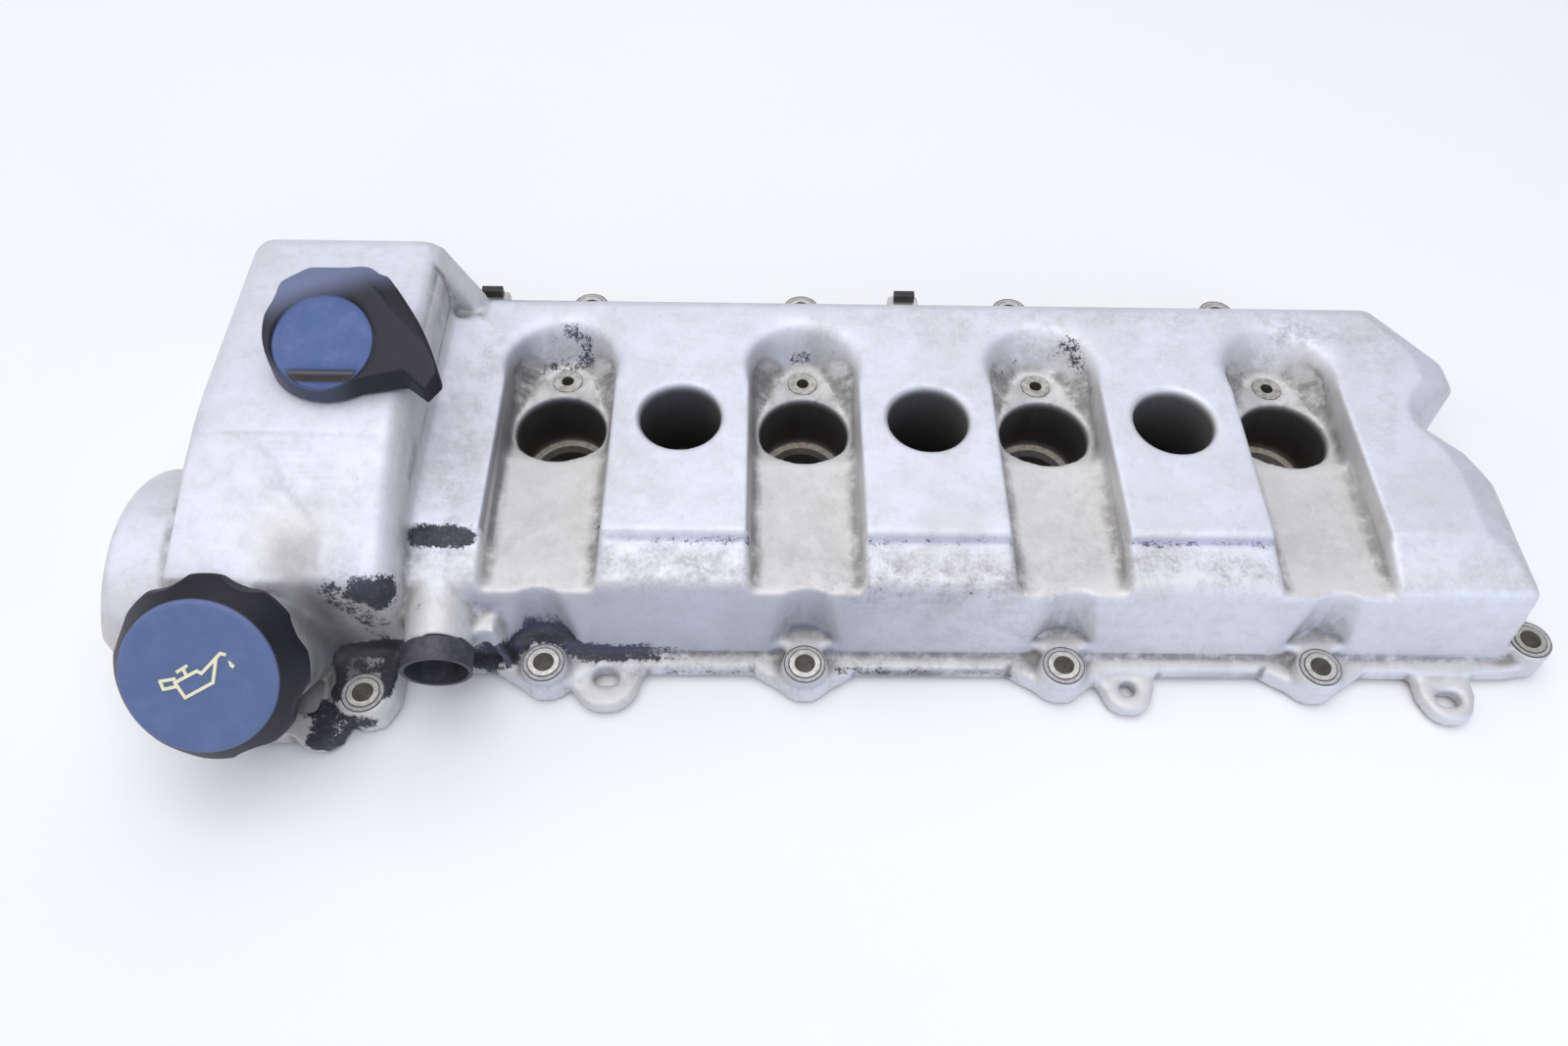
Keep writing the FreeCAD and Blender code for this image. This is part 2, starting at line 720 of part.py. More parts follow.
LUGS = [("lug_1", "23", "0 - 1.6", "lug_wide_r"), ("lug_2", "226.3", "0 - 5", "lug_r"),
        ("lug_3", "351.8", "0 - 8.5", "lug_r")]
lug_holes = []
for name, x, y, r in LUGS:
    solids.append(rod(f"{name}_round", x, y, "0", r, "lug_thick"))
    solids.append(box(f"{name}_root", f"{x} - {r} - 1", y, "0", f"2 * {r} + 2",
                      f"cavity_front_y - ({y})", "lug_thick"))
    if name == "lug_2":
        lug_holes.append(rod(f"{name}_hole", x, y, "0 - 1", "lug_slot_half", "lug_thick + 2"))
    else:
        half = "(lug_slot_long / 2 - lug_slot_half)"
        lug_holes.append(box(f"{name}_slot", f"{x} - {half}", f"{y} - lug_slot_half", "0 - 1",
                             f"2 * {half}", "2 * lug_slot_half", "lug_thick + 2"))
        lug_holes.append(rod(f"{name}_left", f"{x} - {half}", y, "0 - 1", "lug_slot_half", "lug_thick + 2"))
        lug_holes.append(rod(f"{name}_right", f"{x} + {half}", y, "0 - 1", "lug_slot_half", "lug_thick + 2"))

# Hanging features: well trays, tubes, posts and the backs of the reliefs, kept out of the cavity

kept = []
for index, along in cylinders():
    kept.append(box(f"tray_{index}", f"{along} - tray_top_half - wall", "0", "seat_z - wall",
                    "2 * (tray_top_half + wall)", "arch_back_y - tray_top_half", "deck_z"))
    kept.append(rod(f"tray_back_{index}", along, "arch_back_y - tray_top_half", "seat_z - wall",
                    "tray_top_half + wall", "deck_z"))
    kept.append(rod(f"coil_tube_{index}", along, "coil_y", "0", "coil_hole_r + tube_wall", "deck_z"))
    kept.append(rod(f"insert_boss_{index}", along, "insert_y", "seat_z - insert_long - wall",
                    "insert_r + tube_wall", "insert_long + wall"))
    kept.append(rod(f"relief_back_{index}", along, "0", "0", "relief_r + wall", "deck_z"))
for index, along in cylinders()[:3]:
    kept.append(rod(f"middle_tube_{index}", f"{along} + pitch / 2", "middle_y", "0",
                    "middle_r + tube_wall", "deck_z"))
POSTS = []
for end in ("baffle_left_x + post_r + 1", "baffle_right_x - post_r - 1"):
    for side in ("baffle_front_y + post_r + 1", "baffle_rear_y - post_r - 1"):
        POSTS.append((end, side))
for index, (x, y) in enumerate(POSTS):
    kept.append(rod(f"post_{index}", x, y, "baffle_z + baffle_thick", "post_r", "dome_z"))
kept.append(box("notch_floor", "end_x - notch_deep - 1", "notch_y - notch_half - 6", "0", "notch_deep + 1",
                "2 * notch_half + 13", "flange_thick"))
kept.append(rod("tube_back", radius="tube_r + 2", high="wall + 14", **on_tube("ring_long")))
LEVER_PLUG_R = "(lever_r - lever_plug_inset)"
kept.append(rod("lever_collar", "lever_x", "lever_y", "dome_z - wall - 6", LEVER_PLUG_R + " + tube_wall",
                "wall + 8"))

rooms = join("rooms", [housing_room, dome_room, bulge_room, cavity_foot])
room = cut("room", rooms, join("kept", kept))


# Coil wells: a trough with a slanted round back, open at the front

well_cuts = []
for index, along in cylinders():
    high = "deck_z - seat_z"
    middle_low = "seat_back_y - tray_half"
    middle_top = "arch_back_y - tray_top_half"
    floor = slab(f"well_floor_{index}", "YZ_Plane", [
        ("0 - 20", "ramp_top_z + 0.8"),
        ("step_y", "ramp_top_z"),
        ("ramp_end_y", "ramp_top_z - 0.5"),
        ("ramp_start_y", "seat_z"),
        (middle_low, "seat_z"),
        (f"2 * ({middle_top}) - ({middle_low})", f"seat_z + 2 * ({high})"),
        ("0 - 20", f"seat_z + 2 * ({high})"),
    ], "4 * tray_half", x=f"{along} - 2 * tray_half")
    sides = slab(f"well_sides_{index}", "XZ_Plane", [
        ("0 - tray_half", "seat_z"),
        ("tray_half", "seat_z"),
        ("2 * tray_top_half - tray_half", f"seat_z + 2 * ({high})"),
        ("tray_half - 2 * tray_top_half", f"seat_z + 2 * ({high})"),
    ], "bolt_rows", x=along, y="bolt_rows - 20")
    low = circle(f"well_low_{index}", along, middle_low, "seat_z", "tray_half")
    top = circle(f"well_top_{index}", along, f"2 * ({middle_top}) - ({middle_low})", f"seat_z + 2 * ({high})",
                 "2 * tray_top_half - tray_half")
    well_cuts.append(common(f"well_{index}", floor, sides))
    well_cuts.append(loft(f"well_back_{index}", [low, top]))

bore_cuts = []
for index, along in cylinders():
    bore_cuts.append(rod(f"coil_bore_{index}", along, "coil_y", "0 - 1", "coil_hole_r", "deck_z"))
    bore_cuts.append(rod(f"coil_seat_{index}", along, "coil_y", "0 - 1", "coil_hole_r + seal_seat_wide",
                         "seal_seat_high + 1"))
    bore_cuts.append(rod(f"insert_bore_{index}", along, "insert_y", "seat_z - insert_long",
                         "insert_r + fit_gap", "deck_z"))
    bore_cuts.append(rod(f"relief_{index}", along, "0", "boss_high", "relief_r", "deck_z"))
for index, along in cylinders()[:3]:
    here = f"{along} + pitch / 2"
    bore_cuts.append(rod(f"middle_bore_{index}", here, "middle_y", "0 - 1", "middle_r", "deck_z + 10"))
    bore_cuts.append(rod(f"middle_seat_{index}", here, "middle_y", "0 - 1", "middle_r + seal_seat_wide",
                         "seal_seat_high + 1"))
    bore_cuts.append(cone(f"middle_rim_{index}", here, "middle_y", "deck_z - middle_rim",
                          "middle_r", "middle_r + 2 * middle_rim", "2 * middle_rim"))
for name, x, y in BOLTS:
    bore_cuts.append(rod(f"sleeve_bore_{name}", x, y, "0 - 1", "sleeve_r + fit_gap", "boss_high + 2"))
    bore_cuts.append(rod(f"grommet_bore_{name}", x, y, "boss_high - grommet_deep",
                         "grommet_r + fit_gap", "grommet_deep + 1"))
for index, (x, y) in enumerate(POSTS):
    bore_cuts.append(rod(f"post_bore_{index}", x, y, "baffle_z", "screw_r + fit_gap", "screw_long + 2"))
bore_cuts.append(rod("lever_bore", "lever_x", "lever_y", "dome_z - wall - 10", LEVER_PLUG_R + " + lever_gap", "40"))

blank = join("blank", solids)
hollow = cut("hollow", blank, room)
casting = cut("casting", hollow, join("well_tools", well_cuts))
bored = cut("bored", casting, join("bore_tools", bore_cuts + lug_holes))
cover_tools = join("cover_tools", [neck_bore, cap_room, tube_bore, tube_step, ring_room, groove])
cover = piece(cut("cover", bored, cover_tools))


# Gasket, bolt sleeves and grommets, thread inserts and tube seals

gasket_outer = grown("gasket_outer", cavity_outline, "groove_inset + groove_wide - gasket_gap")
gasket_outside = raised("gasket_outside", gasket_outer, "groove_deep", "gasket_proud")
gasket_inside = raised("gasket_inside", grown("gasket_inner", cavity_outline, "groove_inset + gasket_gap"),
                       "groove_deep + 1", "gasket_proud + 1")
piece(cut("gasket", gasket_outside, gasket_inside))

for name, x, y in BOLTS:
    piece(ring(f"sleeve_{name}", "sleeve_bore_r", "sleeve_r", "0", "boss_high + sleeve_proud", x=x, y=y))
    piece(ring(f"grommet_{name}", "sleeve_r + fit_gap", "grommet_r", "boss_high - grommet_deep",
               "boss_high + grommet_proud", x=x, y=y))

for index, along in cylinders():
    piece(ring(f"insert_{index + 1}", "insert_bore_r", "insert_r", "seat_z - insert_long", "seat_z",
               x=along, y="insert_y"))


def soft_seal(label, inner, bore, along, across):
    """A rubber ring pressed up against the ledge of a tube, with its inner edge drawn in."""
    outer = f"{bore} + seal_seat_wide - fit_gap"
    return piece(turned(label, [
        (inner, "1"),
        (outer, "1"),
        (outer, "seal_seat_high"),
        (bore, "seal_seat_high"),
        (f"{bore} - 0.5", "seal_seat_high - 1"),
        (f"{inner} + 1.5", "seal_seat_high - 1.5"),
        (inner, "seal_seat_high - 3"),
    ], x=along, y=across))


for index, along in cylinders():
    soft_seal(f"tube_seal_{index + 1}", "tube_seal_r", "coil_hole_r", along, "coil_y")
for index, along in cylinders()[:3]:
    soft_seal(f"middle_seal_{index + 1}", "middle_seal_r", "middle_r", f"{along} + pitch / 2", "middle_y")


# Oil filler cap, with its plug, seal and symbol

piece(ring("cap_seal", NECK_BORE_R + " + 1", NECK_R + " - 1", "0", "cap_seal_high", **on_neck("0")))
piece(turned("cap_plug", [
    (NECK_BORE_R + " - 3.5", "0 - cap_spigot_long"),
    (NECK_BORE_R + " - 0.5", "0 - cap_spigot_long"),
    (NECK_BORE_R + " - 0.5", "cap_seal_high"),
    (NECK_R, "cap_seal_high"),
    (NECK_R, "cap_seal_high + cap_flange"),
    (NECK_BORE_R + " - 3.5", "cap_seal_high + cap_flange"),
], **on_neck("0")))
cap_blank = turned("cap_blank", [
    (NECK_BORE_R + " - 5", "cap_seal_high + cap_flange"),
    ("cap_r - cap_wall", "cap_seal_high + cap_flange"),
    ("cap_r - cap_wall", "cap_gap"),
    ("cap_r - 0.8", "cap_gap"),
    ("cap_r", "0.2 * cap_high"),
    ("cap_r - 0.6", "0.34 * cap_high"),
    ("cap_face_r + 0.8", "cap_high - 0.8"),
    ("cap_face_r - 0.4", "cap_high"),
    ("0", "cap_high"),
    ("0", "cap_high - cap_wall"),
    (NECK_BORE_R + " - 5", "cap_high - cap_wall"),
], **on_neck("0"))
scallops = []
for index in range(8):
    reach = "(cap_r + cap_scallop_r - cap_scallop_deep)"
    aside = f"{reach} * cos({22.5 + 45 * index})"
    up = f"{reach} * sin({22.5 + 45 * index})"
    scallops.append(rod(f"scallop_{index}", f"neck_x + {aside}", f"neck_y + {up} * cos(neck_tilt)",
                        f"neck_z + {up} * sin(neck_tilt)", "cap_scallop_r", "cap_high + 1", "neck_tilt"))
piece(cut("oil_cap", cap_blank, join("scallops", scallops)))


SYMBOL = [
    ((-7.4, -1.7), (0.2, 2.4)), ((0.2, 2.4), (1.7, 1.6)), ((1.7, 1.6), (8.5, 8.6)), ((8.5, 8.6), (10.0, 8.2)),
    ((7.0, 7.0), (5.3, -1.6)), ((5.3, -1.6), (-4.4, -7.0)), ((-4.4, -7.0), (-7.4, -1.7)),
    ((-7.4, -0.4), (-12.3, -1.3)), ((-12.3, -1.3), (-11.4, -4.1)), ((-11.4, -4.1), (-6.7, -3.0)),
    ((-6.3, 2.1), (-3.1, 4.1)), ((-4.4, 3.3), (-3.2, 0.6)),
]
DROP = [(11.0, 6.3), (11.3, 4.2), (12.4, 3.4), (13.0, 4.4)]


def stroke(label, start, end):
    """One straight line of the oil can symbol, on the cap's face."""
    along = FreeCAD.Vector(end[0] - start[0], end[1] - start[1], 0)
    along.normalize()
    aside = FreeCAD.Vector(-along.y, along.x, 0)
    corners = []
    for point, forward, side in ((start, -1, -1), (end, 1, -1), (end, 1, 1), (start, -1, 1)):
        corner = []
        for axis in range(2):
            offset = 0.35 * forward * along[axis] + 0.5 * side * aside[axis]
            corner.append(f"{point[axis]} * symbol_size + {offset:.4f} * symbol_line")
        corners.append(tuple(corner))
    return slab(label, "XY_Plane", corners, "symbol_high", **on_neck("cap_high"))


strokes = [stroke(f"stroke_{index}", start, end) for index, (start, end) in enumerate(SYMBOL)]
strokes.append(slab("oil_drop", "XY_Plane", [(f"{x} * symbol_size", f"{y} * symbol_size") for x, y in DROP],
                    "symbol_high", **on_neck("cap_high")))
piece(join("oil_symbol", strokes))


# Lever cap on the dome, with its plug and seal

LEVER_RECESS_R = "(lever_r - 0.4 * lever_plug_inset)"
piece(ring("lever_seal", LEVER_PLUG_R + " + 0.1 * lever_plug_inset", "lever_r - 0.5 * lever_plug_inset", "0",
           "lever_seal_high", x="lever_x", y="lever_y", z="dome_z"))
piece(rod("lever_plug", "lever_x", "lever_y", "dome_z - lever_plug_long", LEVER_PLUG_R,
          "lever_plug_long + lever_seal_high"))
lever_knob = turned("lever_knob", [
    ("0", "lever_seal_high"),
    (LEVER_RECESS_R, "lever_seal_high"),
    (LEVER_RECESS_R, "lever_gap"),
    ("lever_r", "lever_gap"),
    ("0.99 * lever_r", "0.35 * lever_high"),
    ("0.965 * lever_r", "0.72 * lever_high"),
    ("0.92 * lever_r", "0.88 * lever_high"),
    ("0.84 * lever_r", "0.965 * lever_high"),
    ("0.7 * lever_r", "lever_high"),
    ("0", "lever_high"),
], x="lever_x", y="lever_y", z="dome_z")
lever_tail = slab("lever_tail", "XY_Plane", [
    ("0", "0"),
    ("0.34 * lever_r", "0 - 0.88 * lever_r"),
    ("1.22 * lever_r", "0 - 0.7 * lever_r"),
    ("1.58 * lever_r", "0 - lever_r"),
    ("1.76 * lever_r", "0 - 0.69 * lever_r", "0 - 2.748 * lever_r", "0 - 2.285 * lever_r"),
    ("0.824 * lever_r", "0.892 * lever_r"),
    ("0.29 * lever_r", "0.95 * lever_r"),
], "lever_high - lever_gap", x="lever_x", y="lever_y", z="dome_z + lever_gap")
tail_slope = slab("tail_slope", "XZ_Plane", [
    ("0.4 * lever_r", "1.02 * lever_high"),
    ("2.2 * lever_r", "0.32 * lever_high"),
    ("2.2 * lever_r", "3 * lever_high"),
    ("0.4 * lever_r", "3 * lever_high"),
], "8 * lever_r", x="lever_x", y="lever_y + 4 * lever_r", z="dome_z")
brow = slab("brow", "XY_Plane", [
    ("0 - 0.93 * lever_r", "0"),
    ("0.9 * lever_r", "0"),
    ("0.88 * lever_r", "0.8 * lever_r"),
    ("0.5 * lever_r", "1.02 * lever_r"),
    ("0 - 0.42 * lever_r", "1.02 * lever_r"),
    ("0 - 0.8 * lever_r", "0.68 * lever_r"),
], "0.96 * lever_high - lever_gap", x="lever_x", y="lever_y", z="dome_z + lever_gap")
tail_room = rod("tail_room", "lever_x", "lever_y", "dome_z", LEVER_RECESS_R, "lever_seal_high")
tail = cut("tail", cut("tail_sloped", join("lever_back", [lever_tail, brow]), tail_slope), tail_room)


def on_thumb(up, above):
    """A point of the thumb's slanted face, from its middle."""
    return {
        "y": f"lever_y + thumb_y + ({up}) * cos(thumb_tilt) - ({above}) * sin(thumb_tilt)",
        "z": f"dome_z + thumb_z + ({up}) * sin(thumb_tilt) + ({above}) * cos(thumb_tilt)",
    }


def thumb_prism(label, corners):
    """A prism across the whole cap, with its section drawn along the thumb's face."""
    section = [tuple(on_thumb(up, above).values()) for up, above in corners]
    return slab(label, "YZ_Plane", section, "4 * lever_r", x="lever_x - 2 * lever_r")


over = thumb_prism("over", [
    ("0 - 3 * lever_r", "thumb_rim"),
    ("3 * lever_r", "thumb_rim"),
    ("3 * lever_r", "2 * lever_high"),
    ("0 - 3 * lever_r", "2 * lever_high"),
])
thumb = turned("thumb", [
    ("0", "0"),
    ("thumb_r", "0"),
    ("thumb_r + thumb_rim", "2 * thumb_rim"),
    ("0", "2 * thumb_rim"),
], x="lever_x + thumb_x", roll="thumb_tilt", **on_thumb("0", "0"))
scoop_slope = thumb_prism("scoop_slope", [
    ("0 - 0.42 * thumb_r", "0"),
    ("0 - 1.2 * thumb_r", "0 - 1.4 * scoop_deep"),
    ("0 - 1.2 * thumb_r", "scoop_deep"),
    ("0 - 0.42 * thumb_r", "scoop_deep"),
])
scoop_round = rod("scoop_round", "lever_x + thumb_x", radius="thumb_r - 0.6", high="4 * scoop_deep",
                  roll="thumb_tilt", **on_thumb("0", "0 - 2 * scoop_deep"))
thumb_tools = join("thumb_tools", [over, thumb, common("scoop", scoop_round, scoop_slope)])
piece(cut("lever_cap", join("lever_blank", [lever_knob, tail]), thumb_tools))


# Breather end sleeve

piece(turned("breather_end", [
    ("ring_bore_r", "0"),
    ("ring_r", "0"),
    ("ring_r", "ring_long"),
    ("tube_r - ring_lip - fit_gap", "ring_long"),
    ("tube_r - ring_lip - fit_gap", "ring_long + ring_spigot"),
    ("tube_bore_r", "ring_long + ring_spigot"),
    ("tube_bore_r", "ring_long - 1"),
    ("ring_bore_r", "ring_long - 1"),
], **on_tube("0")))


# Baffle plate and its screws

plate = box("plate", "baffle_left_x", "baffle_front_y", "baffle_z", "baffle_right_x - baffle_left_x",
            "baffle_rear_y - baffle_front_y", "baffle_thick")
plate_holes = []
screws = []
for index, (x, y) in enumerate(POSTS):
    plate_holes.append(rod(f"plate_hole_{index}", x, y, "baffle_z - 1", "screw_r + fit_gap", "baffle_thick + 2"))
    shank = rod(f"shank_{index}", x, y, "baffle_z - 2", "screw_r", "screw_long")
    head = rod(f"head_{index}", x, y, "baffle_z - 2.5", "screw_head_r", "2.5")
    screws += [shank, head]
piece(cut("baffle", plate, join("plate_holes", plate_holes)))
piece(join("baffle_screws", screws))


# Clips on the rear wall: a steel foot with a black block on it

for side in ("left", "right"):
    piece(slab(f"clip_{side}", "XY_Plane", [
        ("0 - clip_wide / 2", "0"),
        ("clip_wide / 2", "0"),
        ("clip_wide / 2 - 1.5", "clip_deep - 2"),
        ("1.5 - clip_wide / 2", "clip_deep - 2"),
    ], "1.2", x=f"{side}_clip_x", y="clip_y - clip_deep", z="clip_z"))
    piece(box(f"clip_block_{side}", f"{side}_clip_x - clip_wide / 2 + 1.5", "clip_y - clip_deep + 1.5",
              "clip_z + 1.2", "clip_wide - 3", "clip_deep - 3.5", "clip_high"))


# Check every shape, then write the pieces

doc.recompute()
for thing in doc.Objects:
    if any(word in thing.State for word in ("Invalid", "Error")):
        raise RuntimeError(thing.Label + " did not build")
for thing in pieces:
    if thing.Shape.isNull() or not thing.Shape.isValid():
        raise RuntimeError(thing.Label + " has no valid shape")
os.makedirs("parts", exist_ok=True)
for thing in pieces:
    thing.Shape.exportStep(f"parts/{thing.Label}.step")
    print(thing.Label, len(thing.Shape.Solids), round(thing.Shape.Volume, 1))
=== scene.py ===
import math

import bmesh
import bpy
import numpy as np
from mathutils import Matrix, Vector
from mathutils.bvhtree import BVHTree


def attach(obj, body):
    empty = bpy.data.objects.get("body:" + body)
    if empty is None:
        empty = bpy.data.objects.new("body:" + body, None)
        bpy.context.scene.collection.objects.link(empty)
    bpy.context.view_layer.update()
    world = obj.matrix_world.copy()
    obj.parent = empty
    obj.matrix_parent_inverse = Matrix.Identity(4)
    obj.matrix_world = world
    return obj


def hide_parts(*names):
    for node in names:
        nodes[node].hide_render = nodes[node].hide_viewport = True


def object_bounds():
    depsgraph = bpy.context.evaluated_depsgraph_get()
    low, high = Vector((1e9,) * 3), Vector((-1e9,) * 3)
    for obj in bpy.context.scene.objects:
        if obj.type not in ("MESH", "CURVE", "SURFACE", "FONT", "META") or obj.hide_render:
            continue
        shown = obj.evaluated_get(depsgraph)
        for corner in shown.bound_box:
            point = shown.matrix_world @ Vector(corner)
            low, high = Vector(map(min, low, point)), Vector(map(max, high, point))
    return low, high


# Looks for the cast engine valve cover. Everything is in metres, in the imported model's frame.

MM = 0.001

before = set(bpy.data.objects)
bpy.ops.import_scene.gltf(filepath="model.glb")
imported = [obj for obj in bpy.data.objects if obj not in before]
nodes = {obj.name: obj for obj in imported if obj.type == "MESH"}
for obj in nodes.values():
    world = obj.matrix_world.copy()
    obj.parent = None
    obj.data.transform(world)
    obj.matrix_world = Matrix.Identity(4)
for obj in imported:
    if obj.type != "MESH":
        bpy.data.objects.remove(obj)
cad_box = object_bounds()
scene = bpy.context.scene


# Places on the cover that the looks follow, in millimetres

WELLS = (0, 100, 200, 300)
MIDDLE_HOLES = (50, 150, 250)
COIL_Y, COIL_R, COIL_TOP = 95, 18.2, 39.5
MIDDLE_Y, MIDDLE_R, MIDDLE_TOP = 91.7, 16.2, 51.5
DECK_FRONT_Y, DECK_SECTIONS = 33.5, ((27, 76), (124, 176), (224, 276))
BOLTS = [(-66.0, -13.3), (0, 0), (100, 0), (200, 0), (300, 0), (387, 12.8),
         (-99, 192), (1, 192), (101, 192), (201, 192), (301, 192), (374, 170)]
SEAT_BOTTOM, SEAT_TOP, SEAT_IN_R, SEAT_OUT_R = 1.0, 13.9, 6.3, 8.7
MOUTH, NECK_TILT = (-106.2, -20.2, 48.2), math.radians(46.5)
NECK_AXIS = (0.0, -math.sin(NECK_TILT), math.cos(NECK_TILT))
THUMB, THUMB_TILT = (-79.4, 88.4, 95.6), math.radians(22.7)
THUMB_R = 18.3
THUMB_AXIS = (0.0, -math.sin(THUMB_TILT), math.cos(THUMB_TILT))
THUMB_UP = (0.0, math.cos(THUMB_TILT), math.sin(THUMB_TILT))

# Bends across the top of the dome: place along y, change of slope and reach

DOME_BENDS = [(58.0, 0.357, 24.0), (37.0, 0.092, 20.0)]

# Bores painted black inside as painted shade: place, radius and the height of their mouth

BORES = [(x, COIL_Y, COIL_R, COIL_TOP) for x in WELLS]
BORES += [(x, MIDDLE_Y, MIDDLE_R, MIDDLE_TOP) for x in MIDDLE_HOLES]

# Shade in the valley beside the filler neck, as smears: from, to, reach and strength

VALLEY = [
    ((-83, 14, 64), (-83, 1, 48), 12, 0.34),
    ((-83, 1, 48), (-82, -12, 26), 10, 0.55),
]

# Brown stains, in the same way

STAINS = [
    ((-62, 4, 50), (-56, 6, 20), 22, 0.6),
    ((-42, 30, 52), (-30, 60, 52), 16, 0.4),
    ((-36, 90, 52), (-32, 130, 52), 12, 0.5),
    ((30, 24, 48), (80, 22, 47), 12, 0.5),
    ((110, 18, 47), (150, 16, 46), 14, 0.9),
    ((128, 13, 42), (140, 10, 20), 12, 0.8),
    ((150, 16, 46), (190, 16, 46), 12, 0.9),
    ((155, 12, 38), (188, 9, 18), 14, 0.45),
    ((225, 25, 48), (275, 20, 47), 10, 0.5),
    ((30, 1, 5), (190, 1, 5), 8, 0.8),
    ((196, 60, 42), (216, 44, 42), 14, 0.8),
    ((310, 146, 52), (350, 136, 50), 12, 0.7),
    ((120, 150, 52), (300, 150, 52), 7, 0.35),
    ((335, 40, 50), (365, 60, 48), 14, 0.4),
]

# Oily dirt, in the same way

SMEARS = [
    ((-44, 33, 51), (-28, 33, 50), 5.0, 0.85),
    ((-42, 28, 56), (-42, 33, 51), 3.0, 0.80),
    ((-58, 4, 57), (-44, 6, 53), 6.5, 0.90),
    ((-54, 3, 50), (-44, 5, 49), 6.0, 0.75),
    ((-70, 4, 57), (-60, 5, 36), 8.0, 0.50),
    ((-78, 6, 14), (-56, 7, 16), 5.5, 0.90),
    ((-77, 4, 14), (-76, -14, 14), 4.0, 0.80),
    ((-57, 4, 14), (-58, -12, 14), 4.0, 0.80),
    ((-74, -2, 14), (-60, -2, 14), 5.0, 0.55),
    ((-84, -17, 8), (-66, -23, 7), 6.0, 0.70),
    ((-81, -30, 7), (-72, -24, 2), 5.0, 0.90),
    ((-26, 4, 8), (-17, 2, 16), 7.0, 0.90),
    ((-14, 4, 12), (-7, 14, 15), 5.5, 0.90),
    ((-7, 14, 15), (5, 13, 14), 5.5, 0.90),
    ((5, 12, 14), (16, 8, 9), 5.5, 0.90),
    ((18, 8, 8), (54, 8, 9), 4.5, 0.80),
    ((33, 34, 50), (50, 33, 50), 3.5, 0.62),
    ((42, 2, 4), (82, 2, 4), 3.0, 0.40),
    ((114, 1, 7), (134, 2, 4), 3.5, 0.45),
    ((146, 2, 4), (182, 2, 4), 3.0, 0.38),
    ((130, 13, 42), (138, 11, 33), 7.0, 0.42),
    ((148, 9, 16), (154, 12, 35), 6.0, 0.38),
    ((166, 18, 47), (182, 12, 37), 8.0, 0.24),
    ((-12, 129, 38), (8, 132, 40), 5.5, 0.46),
    ((0, 142, 49), (9, 137, 44), 5.0, 0.52),
    ((97, 134, 41), (101, 135, 42), 4.0, 0.52),
    ((213, 137, 50), (219, 128, 44), 6.0, 0.48),
    ((190, 14, 43), (203, 15, 38), 7.0, 0.30),
    ((22, 36, 43), (23, 60, 42), 3.5, 0.50),
    ((28, 33, 49), (78, 33, 49), 3.0, 0.50),
    ((124, 33, 49), (176, 33, 49), 3.0, 0.40),
    ((224, 33, 49), (274, 33, 49), 3.0, 0.42),
    ((30, 24, 48), (80, 22, 47), 8.0, 0.22),
    ((122, 24, 48), (180, 20, 46), 9.0, 0.20),
    ((-20, 126, 40), (-8, 140, 46), 8.0, 0.30),
    ((84, 128, 40), (112, 134, 44), 8.0, 0.28),
    ((182, 128, 40), (214, 136, 46), 8.0, 0.30),
]


# Camera, at the photograph's angle

CAM_PLACE = (0.0827, -0.2206, 0.4180)
CAM_PITCH, CAM_YAW, CAM_ROLL = 54.59, -1.92, 2.05
FOCAL_PIXELS, FRAME_PIXELS, SENSOR = 1214.2, 1600.0, 36.0


def camera_axes():
    """Right, up and forward of the camera, from its pitch, yaw and roll."""
    pitch, yaw, roll = (math.radians(a) for a in (CAM_PITCH, CAM_YAW, CAM_ROLL))
    turn = Matrix.Rotation(yaw, 3, "Z")
    forward = turn @ Vector((0.0, math.cos(pitch), -math.sin(pitch)))
    up = turn @ Vector((0.0, math.sin(pitch), math.cos(pitch)))
    right = turn @ Vector((1.0, 0.0, 0.0))
    return (math.cos(roll) * right + math.sin(roll) * up,
            math.cos(roll) * up - math.sin(roll) * right, forward)


def make_camera():
    data = bpy.data.cameras.new("camera")
    data.sensor_width = SENSOR
    data.lens = FOCAL_PIXELS * SENSOR / FRAME_PIXELS
    data.clip_start, data.clip_end = 0.01, 20.0
    camera = bpy.data.objects.new("camera", data)
    scene.collection.objects.link(camera)
    right, up, forward = camera_axes()
    turn = Matrix((right, up, -forward)).transposed().to_4x4()
    camera.matrix_world = Matrix.Translation(CAM_PLACE) @ turn
    scene.camera = camera


make_camera()


# Light and floor

def area_light(name, place, target, size, power, colour):
    data = bpy.data.lights.new(name, "AREA")
    data.shape, data.size, data.energy, data.color = "SQUARE", size, power, colour
    lamp = bpy.data.objects.new(name, data)
    scene.collection.objects.link(lamp)
    lamp.location = place
    aim = Vector(target) - Vector(place)
    lamp.rotation_mode = "QUATERNION"
    lamp.rotation_quaternion = aim.to_track_quat("-Z", "Y")


